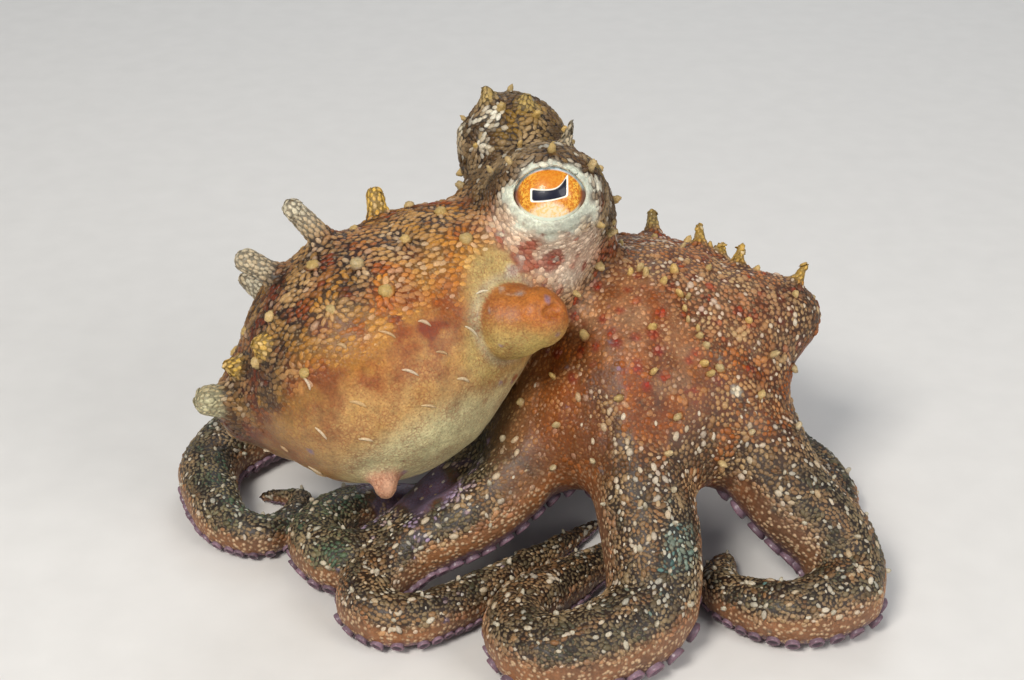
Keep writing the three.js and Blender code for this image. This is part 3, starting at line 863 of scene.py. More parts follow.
class Shading:
    """A material and short ways to add its nodes. Lengths are in millimetres."""

    def __init__(self, name, **constants):
        self.material = bpy.data.materials.new(name)
        self.material.use_nodes = True
        self.tree = self.material.node_tree
        self.shader = self.tree.nodes["Principled BSDF"]
        for key, value in constants.items():
            self.shader.inputs[key.replace("_", " ")].default_value = value
        self.place = self.add("ShaderNodeTexCoord").outputs["Object"]

    def add(self, kind, inputs=(), **settings):
        node = self.tree.nodes.new(kind)
        for key, value in settings.items():
            setattr(node, key, value)
        for key, value in dict(inputs).items():
            if isinstance(value, bpy.types.NodeSocket):
                self.tree.links.new(value, node.inputs[key])
            else:
                node.inputs[key].default_value = value
        return node

    def attribute(self, name, output="Color"):
        return self.add("ShaderNodeAttribute", attribute_name=name).outputs[output]

    def noise(self, size_mm, detail=3.0):
        inputs = {"Vector": self.place, "Scale": 1000 / size_mm, "Detail": detail}
        return self.add("ShaderNodeTexNoise", inputs).outputs["Fac"]

    def cells(self, size_mm, output="Distance", **settings):
        inputs = {"Vector": self.place, "Scale": 1000 / size_mm}
        return self.add("ShaderNodeTexVoronoi", inputs, **settings).outputs[output]

    def ramp(self, value, low, high, start=0.0, end=1.0):
        inputs = {0: value, 1: low, 2: high, 3: start, 4: end}
        return self.add("ShaderNodeMapRange", inputs, clamp=True).outputs[0]

    def math(self, operation, a, b=0.0):
        return self.add("ShaderNodeMath", {0: a, 1: b}, operation=operation).outputs[0]

    def times(self, a, b):
        return self.math("MULTIPLY", a, b)

    def mix(self, a, b, share, blend="MIX"):
        node = self.add("ShaderNodeMix", {0: share, 6: a, 7: b}, data_type="RGBA", blend_type=blend)
        return node.outputs[2]

    def bump(self, height, distance_mm, strength=1.0, normal=None):
        inputs = {"Height": height, "Distance": distance_mm * MM, "Strength": strength}
        if normal is not None:
            inputs["Normal"] = normal
        return self.add("ShaderNodeBump", inputs).outputs[0]

    def finish(self, colour, rough, normal):
        self.tree.links.new(colour, self.shader.inputs["Base Color"])
        self.tree.links.new(rough, self.shader.inputs["Roughness"])
        self.tree.links.new(normal, self.shader.inputs["Normal"])
        return self.material


    def grained(self, colour, grain, high, dark, light):
        """The colour made darker and lighter by a grain that swells up to high."""
        value = self.ramp(grain, 0.3, high, dark, light)
        grey = self.add("ShaderNodeCombineColor", {0: value, 1: value, 2: value}).outputs[0]
        return self.mix(colour, grey, 1.0, "MULTIPLY")


def rgba(colour):
    return (*COLOURS[colour], 1.0)


def wet(name, **extra):
    """The shared ground of all wet flesh."""
    shading = Shading(
        name, Subsurface_Weight=0.06, Subsurface_Scale=0.0012, Coat_Weight=0.08,
        Coat_Roughness=0.3, Specular_IOR_Level=0.38, **extra)
    shading.shader.inputs["Subsurface Radius"].default_value = (1.0, 0.45, 0.25)
    return shading


def skin_material():
    s = wet("octopus_skin")
    tint = s.attribute("tint")
    net = s.attribute("net", "Fac")
    bare = s.attribute("bare", "Fac")
    grain = s.noise(0.5)
    colour = s.mix(tint, (0.0, 0.0, 0.0, 1.0), s.ramp(s.noise(1.6), 0.45, 0.75, 0.0, 0.3))
    dots = s.ramp(s.cells(1.05), 0.2, 0.5, 1.0, 0.0)
    colour = s.mix(colour, rgba("dot"), s.times(dots, net))
    tops = s.ramp(s.cells(0.78), 0.15, 0.5, 1.0, 0.0)
    raised = s.times(tops, s.attribute("grit", "Fac"))
    colour = s.mix(colour, s.mix(tint, rgba("pale"), 0.55), s.times(raised, 0.8))
    pores = s.ramp(s.cells(0.5), 0.1, 0.42, 1.0, 0.0)
    pore_colour = s.mix(colour, rgba("rust"), 0.6)
    colour = s.mix(colour, pore_colour, s.times(pores, s.times(bare, 0.8)))
    edges = s.cells(0.85, feature="DISTANCE_TO_EDGE")
    threads = s.times(s.ramp(edges, 0.03, 0.22, 1.0, 0.0), s.ramp(s.noise(5.0), 0.4, 0.6))
    thread_colour = s.mix(colour, rgba("rust"), 0.4)
    colour = s.mix(colour, thread_colour, s.times(threads, bare))
    colour = s.grained(colour, grain, 0.7, 0.8, 1.22)
    rough = s.ramp(grain, 0.3, 0.7, 0.42, 0.62)
    normal = s.bump(grain, 0.16, 0.5)
    normal = s.bump(s.times(dots, net), 0.3, 0.7, normal)
    normal = s.bump(raised, 0.25, 0.7, normal)
    normal = s.bump(s.noise(1.1), 0.35, 0.5, normal)
    return s.finish(colour, rough, normal)


def pebble_material():
    s = wet("octopus_pebbles")
    grain = s.noise(0.35)
    colour = s.grained(s.attribute("tint"), grain, 0.72, 0.78, 1.22)
    return s.finish(colour, s.ramp(grain, 0.3, 0.7, 0.4, 0.6), s.bump(grain, 0.12, 0.6))


def sucker_material():
    s = wet("octopus_suckers")
    grain = s.noise(0.4)
    colour = s.mix(s.attribute("tint"), rgba("sucker_cup"), s.ramp(grain, 0.45, 0.8, 0.0, 0.5))
    return s.finish(colour, s.ramp(grain, 0.3, 0.7, 0.28, 0.45), s.bump(grain, 0.1, 0.4))


def eye_material():
    s = Shading("octopus_eye", Coat_Weight=0.25, Coat_Roughness=0.04, Specular_IOR_Level=0.3,
                Subsurface_Weight=0.05, Subsurface_Scale=0.001)
    x, y = s.attribute("eye_x", "Fac"), s.attribute("eye_y", "Fac")
    pupil, iris = s.attribute("pupil", "Fac"), s.attribute("iris", "Fac")
    grain = s.noise(0.32, 4)
    flecks = s.noise(0.55, 2)
    gold, amber = (0.86, 0.47, 0.06, 1), (0.62, 0.19, 0.01, 1)
    rust, cream = (0.25, 0.05, 0.01, 1), (0.84, 0.66, 0.45, 1)
    side = s.ramp(s.math("ABSOLUTE", x), 1.8, 5.0)
    golden = s.times(s.ramp(flecks, 0.42, 0.58), s.ramp(side, 0, 1, 0.25, 1))
    orange = s.mix(amber, gold, golden)
    rusty = s.times(s.ramp(grain, 0.52, 0.68), s.ramp(side, 0, 1, 0.2, 0.8))
    orange = s.mix(orange, rust, rusty)
    sag = s.times(s.times(x, x), 0.13)
    low = s.ramp(s.math("ADD", s.math("ADD", y, sag), s.times(grain, 1.8)), -0.1, -1.5)
    orange = s.mix(orange, s.mix(cream, gold, s.ramp(flecks, 0.46, 0.62, 0.0, 0.65)), low)
    corner = s.times(s.ramp(s.math("ABSOLUTE", x), 5.4, 6.2), s.ramp(y, 1.6, 0.6, 0.0, 0.85))
    rim = s.mix((0.62, 0.74, 0.82, 1), (0.75, 0.8, 0.72, 1), s.ramp(y, 3, -3))
    colour = s.mix(orange, rim, s.ramp(iris, 0.96, 1.03))
    colour = s.mix(colour, rust, corner)
    colour = s.mix(colour, (0.93, 0.88, 0.76, 1), s.ramp(pupil, 0.3, 0.22))
    colour = s.mix(colour, (0.004, 0.005, 0.018, 1), s.ramp(pupil, 0.04, -0.04))
    return s.finish(colour, s.ramp(grain, 0.3, 0.7, 0.3, 0.45), s.bump(grain, 0.06, 0.3))


SKIN, PEBBLES, SUCKERS, EYES = skin_material(), pebble_material(), sucker_material(), eye_material()

# ---- the skin ----

skin_places, skin_faces = skin_surface()
corner = skin_places[skin_faces]
volume = np.einsum("ij,ij->", corner[:, 0], np.cross(corner[:, 1], corner[:, 2]))
if volume < 0:
    skin_faces = skin_faces[:, ::-1]
skin_normals = vertex_normals(skin_places, skin_faces)
look = Look(skin_places, skin_normals)
net = look.on_arms * look.far_out * (1 - fade(0.3, 0.7, look.facing)) * fade(-0.75, -0.4, look.facing)
grit = np.maximum(look.cover, 0.6 * look.cheek) * (1 - 0.5 * look.smooth_web) * (1 - look.ring)
bare = clamp01(1 - look.cover) * (1 - look.ring) * (1 - net)
make_piece(
    "skin", skin_places, skin_faces, SKIN, flesh_nodes,
    {"tint": look.ground(), "net": net, "bare": bare, "grit": grit})

# ---- pebbles: the tubercles that cover the skin ----


def scattered(spacing, share, crowd):
    """Places on the skin about spacing apart where share allows: vertex numbers and places."""
    corners = skin_places[skin_faces]
    cross = np.cross(corners[:, 2] - corners[:, 0], corners[:, 3] - corners[:, 1])
    area = lengths(cross) / 2
    face_spacing = spacing[skin_faces].mean(1)
    wanted = np.where(share[skin_faces].mean(1) > 0.04, area / face_spacing**2, 0)
    count = int(wanted.sum() * crowd)
    chosen = rng.choice(len(area), count, p=wanted / wanted.sum())
    a, b = rng.random(count)[:, None], rng.random(count)[:, None]
    quad = corners[chosen]
    one, other = quad[:, 0] * (1 - a) + quad[:, 1] * a, quad[:, 3] * (1 - a) + quad[:, 2] * a
    places = one * (1 - b) + other * b
    reach = face_spacing[chosen]
    tree = tree_of(places)
    free = np.ones(count, bool)
    kept = []
    for number in range(count):
        if free[number]:
            kept.append(number)
            for _, close, _ in tree.find_range(places[number], reach[number]):
                free[close] = False
    kept = np.array(kept)
    nearest = skin_faces[chosen[kept], 0]
    return nearest, places[kept]


def cap_and_bands(sides, rings):
    """The triangles of a shape made of rings between two end points."""
    triangles = []
    low, last = 1 + (rings - 1) * sides, 1 + sides * rings
    for side in range(sides):
        after = (side + 1) % sides
        triangles.append([0, 1 + side, 1 + after])
        for ring in range(rings - 1):
            a, b = 1 + ring * sides + side, 1 + ring * sides + after
            triangles.append([a, a + sides, b])
            triangles.append([b, a + sides, b + sides])
        triangles.append([low + side, last, low + after])
    return np.array(triangles)


def turned(sides, profile, top=1.0, bottom=None, twisted=True):
    """A closed shape from rings of (radius, height), top first."""
    turn = np.arange(sides) * 2 * math.pi / sides
    rows = [[0, 0, top]]
    for ring, (radius, height) in enumerate(profile):
        at = turn + twisted * ring * math.pi / sides
        rows.extend(np.stack([radius * np.cos(at), radius * np.sin(at), np.full(sides, height)], 1))
    rows.append([0, 0, profile[-1][1] - FOOT_DEPTH if bottom is None else bottom])
    return np.array(rows, float), cap_and_bands(sides, len(profile))


# Half outlines as (radius, height), top first.
PEBBLE = [(0.42, 0.9), (0.78, 0.6), (1.0, 0.2), (1.28, -0.16)]
MIDDLE_PEBBLE = [(0.6, 0.8), (1.0, 0.25), (1.3, -0.2)]
SMALL_PEBBLE = [(0.75, 0.66), (1.25, -0.2)]
OVAL = [(0.5, 0.87), (0.87, 0.5), (1.0, -0.1)]
FOOT_DEPTH = 0.2


def stamped(template, roots, axes, sizes, wobble):
    """Copies of a template: one at each root, turned to its axes and stretched to its sizes."""
    vertices, triangles = template
    shapes = vertices[None] * sizes[:, None]
    shapes *= 1 + wobble * rng.uniform(-1, 1, (len(roots), len(vertices), 1))
    places = np.einsum("nkj,nji->nki", shapes, axes) + roots[:, None]
    faces = triangles[None] + (np.arange(len(roots)) * len(vertices))[:, None, None]
    return places.reshape(-1, 3), faces.reshape(-1, 3)


def axes_along(way, normals):
    """For each normal: an axis along way, one across, and the normal itself."""
    first = unit(way - (way * normals).sum(1, keepdims=True) * normals)
    return np.stack([first, np.cross(normals, first), normals], 1)


PATCH = 0.0015  # half the width of a copy's patch on the OFBake map
PEBBLE_SINK, PAPILLA_SINK, OVAL_SINK = 0.12, 0.25, 0.1
PEBBLE_WOBBLE, OVAL_WOBBLE = 0.13, 0.08
CROWN_END = 0.35


def globe(p, centre):
    """Each place as a longitude and latitude round centre, 0 to 1."""
    away = unit(p - centre)
    azimuth = np.arctan2(away[:, 1], away[:, 0]) / (2 * math.pi) + 0.5
    return np.stack([azimuth, np.arcsin(away[:, 2]) / math.pi + 0.5], 1)


def chart(region, local):
    """Each root's place on an unwrap of its own part of the skin."""
    centres = {"mantle": MANTLE_MIDDLE, "head": SKULL[0], "crown": CROWN_CAP[0]}
    if region in centres:
        return globe(local.p, np.array(centres[region]))
    stations = np.round(local.along * ARM_STATIONS).astype(int)
    frames = np.array(arm_frames)[local.arm_index, stations]
    turn = np.arctan2((local.normals * frames[:, 1]).sum(1), local.facing)
    lane = turn / (2 * math.pi) + 0.5
    return np.stack([0.01 + 0.98 * local.along, 0.01 + 0.98 * lane], 1)


def patches(roots_uv, template):
    """Each copy's own small patch round its root's place."""
    corners = template[0][:, :2] / np.abs(template[0][:, :2]).max()
    return (roots_uv[:, None] + corners[None] * PATCH).reshape(-1, 2)


def coat_piece(name, template, feet, axes, sizes, wobble, tints, shade, charted):
    """One joined mesh of copies of a template, from the first tint at the foot to the second."""
    places, faces = stamped(template, feet, axes, sizes, wobble)
    low, high = tints
    tint = mix(low[:, None], high[:, None], shade[None]).reshape(-1, 3)
    make_piece(name, places, faces, PEBBLES, (), {"tint": tint}, patches(charted, template))


def region_of(local):
    """Which part of the body each place belongs to, as a name."""
    shares = [local.on_mantle, local.on_head, local.on_arms + local.on_siphon]
    best = np.stack(shares).argmax(0)
    own = np.array([f"arms_{name}" for name in ARMS])[local.arm_index]
    arm_names = np.where(local.far_out < CROWN_END, "crown", own)
    return np.where(best == 0, "mantle", np.where(best == 1, "head", arm_names))


def pebble_ways(local, toward, near):
    """The way each pebble's long side lies."""
    roots = local.p
    mantle_way = unit(np.array(MANTLE_WAY[0], float) - MANTLE_WAY[3])
    way = np.where((local.on_mantle > 0.5)[:, None], mantle_way, local.way)
    nearer = np.argmin([lengths(roots - eye.centre) for eye in eyes], axis=0)
    centres, gazes = (np.array([getattr(eye, key) for eye in eyes]) for key in ("centre", "gaze"))
    round_eye = unit(np.cross(gazes[nearer], roots - centres[nearer]))
    way = np.where((local.on_head > 0.5)[:, None], round_eye, way)
    way = unit(way) + 0.2 * rng.normal(size=way.shape)
    way = np.where((local.spike_share > 0.2)[:, None], local.spike_way, way)
    return unit(way) * (1 - near)[:, None] + toward * near[:, None]


def pebble_sizes(local, near):
    """Half length, half width and height of each pebble."""
    count = len(local.p)
    stretch = 1.15 + 0.4 * local.on_mantle + 0.3 * local.on_head + 0.3 * near
    stretch = stretch + 0.25 * local.far_out * local.on_arms
    full = 0.72 + 0.07 * local.on_head
    spread = rng.uniform(0.78, 1.1, count) - local.on_arms * rng.uniform(0, 0.3, count)
    base = full * local.spacing * np.where(rng.random(count) < 0.05, 1.3, spread)
    flat = 0.3 + 0.7 * local.bold
    height = base * rng.uniform(0.42, 0.68, count) * flat * fade(0.0, 0.6, local.cover)
    return np.stack([base * np.sqrt(stretch), base / np.sqrt(stretch), height], 1)


def pebble_colours(local):
    roots, count = local.p, len(local.p)
    pale = clamp01(0.3 + 0.12 * rng.normal(size=count) + 0.8 * noise(roots, 3.6, 41))
    pale = pale * (0.15 + 0.85 * local.bold) * (1 - 0.4 * local.on_arms * local.far_out)
    # Pebbles are less pale towards the mantle's darker left end, which is partly painted shade.
    pale = pale * (1 - 0.2 * local.on_head - 0.3 * local.on_mantle * fade(-42, -52, roots[:, 0]))
    warm = 0.5 * local.on_mantle + 0.3 * local.on_arms * (1 - local.far_out)
    pale_colour = mix(COLOURS["pale"], COLOURS["gold"], warm)
    unlike = 0.12 + 0.3 * local.on_arms * local.far_out
    tone = 1.1 + unlike * rng.uniform(-1, 1, count)
    colour = mix(local.tint * tone[:, None], pale_colour, pale)
    chance = 0.05 + 0.06 * local.on_arms + 0.2 * fade(0.35, 0.6, noise(roots, 8, 42))
    bleach = np.where(rng.random(count) < chance, 0.4, 0.0)
    bleach = bleach * (1 - local.ring) * (1 - 0.6 * local.on_mantle) * (1 - 0.7 * local.smooth_web)
    return layered(colour, ("white", bleach))


def make_pebbles(papilla_roots):
    numbers, roots = scattered(look.spacing, look.cover, 9)
    keep = rng.random(len(roots)) < fade(0.0, 0.35, look.cover[numbers])
    numbers, roots = numbers[keep], roots[keep]
    normals = skin_normals[numbers]
    local = Look(roots, normals)
    toward, gap = nearest_papilla(roots, papilla_roots)
    near = (1 - fade(2.2, 5.0, gap)) * (1 - local.spike_share)
    way = pebble_ways(local, toward, near)
    sizes = pebble_sizes(local, near)
    tints = local.ground(), pebble_colours(local)
    axes = axes_along(way, normals)
    feet = roots - normals * PEBBLE_SINK
    region = region_of(local)
    for name in sorted(set(region)):
        rows = np.flatnonzero(region == name)
        template = turned(6, MIDDLE_PEBBLE)
        if name.startswith("arms"):
            template = turned(5, SMALL_PEBBLE)
        elif name == "head":
            template = turned(8, PEBBLE)
        shade = fade(-0.05, 0.7, template[0][:, 2])
        coat_piece(
            f"pebbles_{name}", template, feet[rows], axes[rows], sizes[rows], PEBBLE_WOBBLE,
            [tint[rows] for tint in tints], shade, chart(name, local)[rows])


def nearest_papilla(roots, papilla_roots):
    """The way to the nearest papilla and how far off it is."""
    tree = tree_of(papilla_roots)
    found = [tree.find(root) for root in roots]
    toward = np.array([np.array(place) for place, _, _ in found]) - roots
    return unit(toward), np.array([gap for _, _, gap in found])


# ---- papillae: small pointed flaps and knobs among the pebbles ----


def knob(sides, rings):
    """A pointed, waisted papilla, unit radius and unit height."""
    heights = np.linspace(1, 0, rings + 1)[1:]
    widths = np.interp(heights, [0, 0.2, 0.45, 0.7, 0.9, 1], [1.15, 0.84, 0.8, 0.7, 0.4, 0.1])
    return turned(sides, list(zip(widths, heights)), bottom=-FOOT_DEPTH, twisted=False)


# Lines of close papillae: where each runs, as places near the skin.
RIDGES = [([22, -6, 68], [34, -12, 62], 5), ([35, -13, 61], [41, -24, 47], 7)]


def ridge_vertices():
    wanted = [np.linspace(start, end, count) for start, end, count in RIDGES]
    places = np.concatenate(wanted) + rng.normal(0, 0.6, (sum(len(row) for row in wanted), 3))
    return [int(lengths(skin_places - place).argmin()) for place in places]


def make_papillae():
    dorsal = look.cover * (1 - look.ring) * (1 - look.spike_share) * (1 - look.cheek)
    spacing = 8.5 - 1.5 * look.on_head - 2.2 * look.on_arms * look.far_out
    numbers, roots = scattered(spacing, dorsal, 7)
    keep = dorsal[numbers] > 0.45
    ridges = ridge_vertices()
    numbers = np.r_[numbers[keep], ridges]
    roots = np.vstack([roots[keep], skin_places[ridges]])
    normals = skin_normals[numbers]
    local = Look(roots, normals)
    lean = unit(normals + [0, 0, 0.35] + 0.25 * rng.normal(size=normals.shape))
    axes = axes_along(rng.normal(size=lean.shape), lean)
    far = local.far_out * local.on_arms
    radius = rng.uniform(0.75, 1.2, len(roots)) * (1 - 0.35 * far) * (1 + 0.55 * local.on_mantle)
    tall = rng.uniform(1.3, 2.4, len(roots)) * (1 - 0.5 * local.on_mantle)
    sizes = np.stack([radius, radius * (0.7 + 0.25 * local.on_mantle), radius * tall], 1)
    colour = mix(COLOURS["straw"], COLOURS["khaki"], 0.7 * rng.random(len(roots)))
    colour = mix(colour, COLOURS["ash"], clamp01(far + 0.3 * rng.random(len(roots))))
    template = knob(9, 6)
    coat_piece(
        "papillae", template, roots - normals * PAPILLA_SINK, axes, sizes, PEBBLE_WOBBLE,
        (local.tint * 0.8, colour), fade(0.0, 0.4, template[0][:, 2]), globe(roots, CROWN_CAP[0]))
    return roots


def lay_ovals(name, share, spacing, wanted, bend, shape_of, mixed):
    """Pale ovals lying on the skin: shape_of gives each one's way, length, width and height."""
    numbers, roots = scattered(np.full(len(share), spacing), share, 7)
    keep = (share[numbers] > 0.5) & (rng.random(len(roots)) < wanted)
    numbers, roots = numbers[keep], roots[keep]
    normals = skin_normals[numbers]
    local = Look(roots, normals)
    way, sizes = shape_of(local)
    axes = axes_along(way, normals)
    vertices, faces = turned(9, OVAL)
    vertices[:, 1] += bend * vertices[:, 0] ** 2
    colour = mix(COLOURS["pale"], COLOURS["white"], rng.uniform(0.0, 0.7, len(roots)))
    colour = mix(colour, local.tint, mixed)
    coat_piece(
        name, (vertices, faces), roots - normals * OVAL_SINK, axes, sizes, OVAL_WOBBLE,
        (local.tint * 0.7, colour), fade(0.0, 0.6, vertices[:, 2]), globe(roots, CROWN_CAP[0]))


def streaming(local):
    """Ovals that stream down the arms."""
    count = len(local.p)
    long = 0.4 + 0.75 * rng.random(count) ** 1.6
    way = local.way + 0.2 * rng.normal(size=local.normals.shape)
    return way, np.stack([long, 0.62 * long, 0.5 * long], 1)


def lying(local):
    """Thin bent ridges that lie on the smooth mantle."""
    count = len(local.p)
    flow = unit(np.cross(local.normals, unit(local.p - MANTLE_MIDDLE) + [0.4, -0.3, 0.9]))
    long = rng.uniform(1.2, 2.1, count)
    wide = rng.uniform(0.3, 0.45, count)
    return flow + 0.35 * rng.normal(size=flow.shape), np.stack([long, wide, np.full(count, 0.5)], 1)


STREAM_ARMS = [list(ARMS).index(name) for name in ("front", "front_left", "front_right", "left")]


def make_ovals():
    on_arm = look.on_arms * fade(0.15, 0.5, look.facing) * fade(27, 34, look.survey.from_crown)
    streamed = np.isin(look.arm_index, STREAM_ARMS) * fade(0.2, 0.6, look.streak)
    lay_ovals("ovals", on_arm * streamed, 2.6, 0.8, 0.0, streaming, 0.2)
    on_mantle = look.on_mantle * fade(-0.25, 0.0, look.belly) * (1 - fade(0.55, 0.7, look.belly))
    lay_ovals("ridges", on_mantle, 6.6, 0.8, 1.2, lying, 0.3)


papilla_roots = make_papillae()
make_ovals()
spike_feet = np.array([spike.root for spike in spikes])
make_pebbles(np.vstack([papilla_roots, spike_feet]))

# ---- suckers ----

SUCKER_SHARE = 0.22  # a sucker's radius as a share of the arm's
SUCKER_PACK = 1.95  # radii from one sucker to the next
SUCKER_LEAST, SUCKER_FLOOR = 0.32, 0.12
SUCKER_SIDES = 14
SUCKER_SPREAD = (38, 58)  # degrees from straight under, where an arm hangs and where it lies
SUCKER_PROFILE = [
    (0.0, 0.12), (0.35, 0.16), (0.62, 0.34), (0.82, 0.62), (0.96, 0.66), (1.05, 0.5),
    (1.0, 0.2), (0.9, -0.3), (0.86, -0.8)]


def sucker_stations(arm):
    """Where suckers sit along an arm, from under the crown to near the tip, and their radii."""
    found, at = [], 0.1 * arm.length
    while at < 0.985 * arm.length:
        body_radius = np.interp(at / arm.length, np.linspace(0, 1, len(arm.radii)), arm.radii)
        radius = max(body_radius * SUCKER_SHARE, SUCKER_LEAST)
        found.append((at / arm.length, radius))
        at += radius * SUCKER_PACK
    return found


def sucker_rows(arm, frames):
    """Feet, outward ways, ways along and radii for one arm's two rows."""
    found = []
    numbers = np.arange(ARM_STATIONS + 1)
    for t, radius in sucker_stations(arm):
        for side in (-1, 1):
            at = min(t + side * 0.25 * radius * SUCKER_PACK / arm.length, 0.99)
            station = at * ARM_STATIONS
            middle = np.array([np.interp(station, numbers, arm.middles[:, k]) for k in range(3)])
            way, across, up = frames[int(round(station))]
            body_radius = np.interp(at, np.linspace(0, 1, len(arm.radii)), arm.radii)
            lying = 1 - fade(0.95, 1.8, middle[2] / body_radius)
            hanging_at, lying_at = SUCKER_SPREAD
            spread = math.radians(hanging_at + (lying_at - hanging_at) * lying)
            out = math.sin(spread) * side * across - math.cos(spread) * up
            found.append((middle, out, way, radius))
    return [np.array(column) for column in zip(*found)]


def settle(feet, outs, longest):
    """Moves each foot out along its way until it reaches the skin."""
    low, high = np.zeros(len(feet)), longest.copy()
    for _ in range(12):
        middle = (low + high) / 2
        inside = skin_depth(feet + middle[:, None] * outs) < 0
        low, high = np.where(inside, middle, low), np.where(inside, high, middle)
    return feet + low[:, None] * outs


def make_suckers():
    rows = [sucker_rows(arm, frames) for arm, frames in zip(arms, arm_frames)]
    feet, outs, ways, radii = (np.concatenate(column) for column in zip(*rows))
    lane = np.concatenate([np.full(len(row[0]), index) for index, row in enumerate(rows)])
    order = np.concatenate([np.arange(len(row[0])) for row in rows])
    feet = settle(feet, outs, radii / SUCKER_SHARE * 1.5)
    clear = np.abs(Survey(feet).body) < 2.5  # the others would sit inside the web
    feet, outs, ways, radii, lane, order = (
        column[clear] for column in (feet, outs, ways, radii, lane, order))
    (_, top), *profile = SUCKER_PROFILE
    template = turned(SUCKER_SIDES, profile, top, profile[-1][1], twisted=False)
    shape = template[0]
    sizes = np.stack([radii, radii, radii * 0.75], 1)
    places, faces = stamped(template, feet, axes_along(ways, outs), sizes, 0.03)
    places[:, 2] = np.maximum(places[:, 2], SUCKER_FLOOR)
    rim = fade(0.55, 0.95, np.hypot(shape[:, 0], shape[:, 1])) * (shape[:, 2] > 0.3)
    tint = mix(COLOURS["sucker_cup"], COLOURS["sucker_rim"], rim)
    foot = (shape[:, 2] < 0.3) & (np.arange(len(shape)) > 20)
    tint = np.where(foot[:, None], COLOURS["oral"], tint)
    tone = 1 + 0.15 * rng.normal(size=(len(feet), 1, 1))
    tint = (tint[None] * tone).reshape(-1, 3)
    across = 1 / (order.max() // 2 + 2)
    centre = np.stack([(order // 2 + 0.5) * across, (lane * 2 + order % 2 + 0.5) / 16], 1)
    reach = shape[:, :2] * [0.4 * across, 0.025]
    uv = (centre[:, None] + reach[None]).reshape(-1, 2)
    make_piece("suckers", places, faces, SUCKERS, (), {"tint": tint}, uv)


make_suckers()

# ---- eyeballs ----

IRIS = (6.5, 4.75)  # half width and half height
EYE_SIDES = 180
BALL_GAP = 0.05  # how much smaller the ball is than its hollow
PUPIL_DEPTH, PUPIL_DROP = 0.25, 0.1


def pupil_depth(x, y):
    """Distance out of the pupil: a level bar whose front end turns up to a point."""
    upper = 0.52 + 0.05 * (x + 1) ** 2 + 0.11 * np.maximum(x - 0.3, 0) ** 2.6
    lower = -1.45 + 0.035 * (x + 2.2) ** 2
    ends = np.abs(x + 0.08) - 3.45
    return smooth_max(smooth_max(y - upper, lower - y, 0.3), ends, 0.5)


def make_eyeball(eye):
    angles = np.radians(np.concatenate([np.arange(0.8, 76, 0.8), np.arange(76, 180, 8)]))
    profile = [(math.sin(angle), math.cos(angle)) for angle in angles]
    rows, triangles = turned(EYE_SIDES, profile, bottom=-1, twisted=False)
    local = rows * (EYE_RADIUS - BALL_GAP)
    axes = np.array([eye.forward, eye.up, eye.gaze])
    if np.linalg.det(axes) < 0:
        triangles = triangles[:, ::-1]
    x, y = local[:, 0], local[:, 1]
    behind = local[:, 2] < 0
    iris = np.where(behind, 2, np.hypot(x / IRIS[0], y / IRIS[1]))
    pupil = np.where(behind, 9, pupil_depth(x, y + PUPIL_DROP))
    dip = PUPIL_DEPTH * (1 - fade(-0.1, 0.25, pupil))
    local = local * (1 - dip / EYE_RADIUS)[:, None]
    attributes = {"eye_x": x, "eye_y": y, "iris": iris, "pupil": pupil}
    places = local @ axes + eye.centre
    make_piece(f"{eye.name}_ball", places, triangles, EYES, [eye.name], attributes)


for eye in eyes:
    make_eyeball(eye)

# ---- floor, light and camera ----


FLOOR_HALF = 3.0
LIGHT_TARGET = (0, 0, 0.04)
# Each light: place, size, power and colour.
LIGHTS = {
    "key": ((-0.35, -0.6, 0.75), 0.3, 8.2, (1, 0.96, 0.9)),
    "fill": ((0.6, -0.5, 0.45), 0.45, 3.2, (1, 0.98, 0.96)),
    "back": ((0.1, 0.8, 0.7), 0.5, 2.0, (0.92, 0.96, 1)),
}
WORLD_COLOUR, WORLD_STRENGTH = (0.86, 0.92, 1.0, 1), 0.3


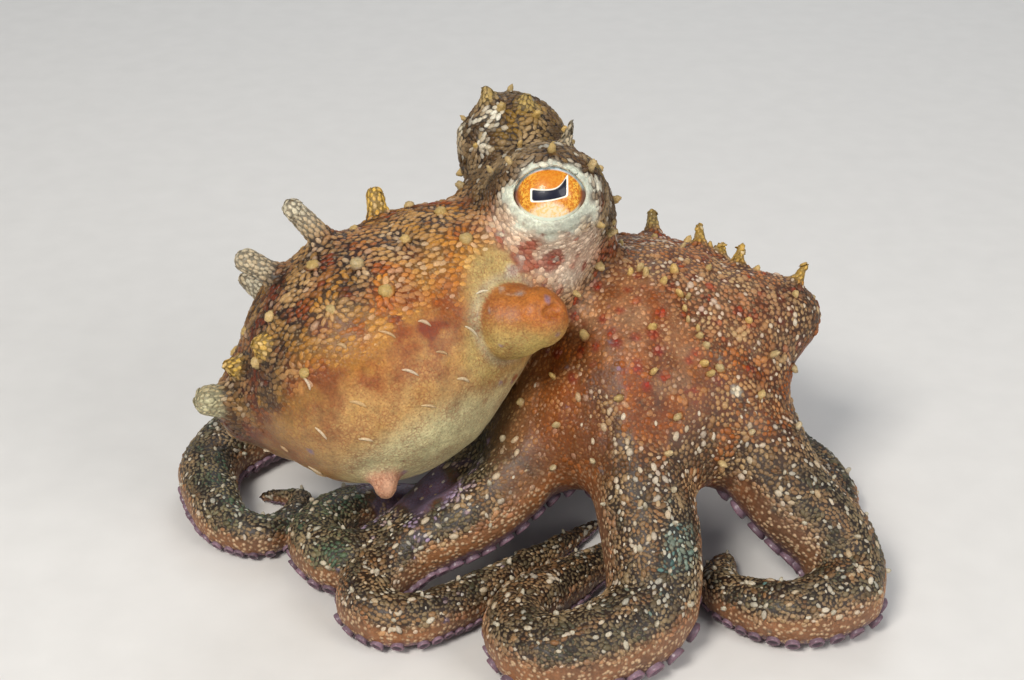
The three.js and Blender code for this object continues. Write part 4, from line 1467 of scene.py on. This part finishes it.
def make_floor():
    s = Shading("studio_floor")
    grain = s.noise(9, 5)
    colour = s.mix((0.70, 0.68, 0.65, 1), (0.77, 0.75, 0.72, 1), grain)
    material = s.finish(colour, s.ramp(grain, 0.2, 0.8, 0.6, 0.75), s.bump(grain, 0.05, 0.2))
    mesh = bpy.data.meshes.new("studio_floor")
    corners = [(x * FLOOR_HALF, y * FLOOR_HALF, 0) for x, y in ((-1, -1), (1, -1), (1, 1), (-1, 1))]
    mesh.from_pydata(corners, [], [(0, 1, 2, 3)])
    mesh.materials.append(material)
    floor = bpy.data.objects.new("studio_floor", mesh)
    bpy.context.scene.collection.objects.link(floor)


def make_light(name, place, size, power, colour):
    data = bpy.data.lights.new(name, "AREA")
    data.size, data.energy, data.color = size, power, colour
    lamp = bpy.data.objects.new(name, data)
    lamp.location = place
    lamp.rotation_mode = "QUATERNION"
    lamp.rotation_quaternion = (Vector(LIGHT_TARGET) - Vector(place)).to_track_quat("-Z", "Y")
    bpy.context.scene.collection.objects.link(lamp)


CAMERA_HEIGHT_ANGLE = 28  # degrees
VIEW_ANGLE = 34
CAMERA_DISTANCE = 360
AIM = np.array([0, 0, 42.0])


def make_camera():
    data = bpy.data.cameras.new("camera")
    data.sensor_width = 36
    data.lens = 18 / math.tan(math.radians(VIEW_ANGLE / 2))
    data.clip_start = 0.01
    camera = bpy.data.objects.new("camera", data)
    rise = math.radians(CAMERA_HEIGHT_ANGLE)
    back = np.array([0, -math.cos(rise), math.sin(rise)])
    camera.location = (AIM + shift + back * CAMERA_DISTANCE) * MM
    camera.rotation_euler = (math.radians(90 - CAMERA_HEIGHT_ANGLE), 0, 0)
    bpy.context.scene.collection.objects.link(camera)
    bpy.context.scene.camera = camera


def make_world():
    world = bpy.data.worlds.new("studio")
    world.use_nodes = True
    background = world.node_tree.nodes["Background"]
    background.inputs["Color"].default_value = WORLD_COLOUR
    background.inputs["Strength"].default_value = WORLD_STRENGTH
    bpy.context.scene.world = world


make_floor()
for name, light in LIGHTS.items():
    make_light(name, *light)
make_camera()
make_world()
bpy.context.scene.view_settings.view_transform = "Standard"

bpy.context.view_layer.update()
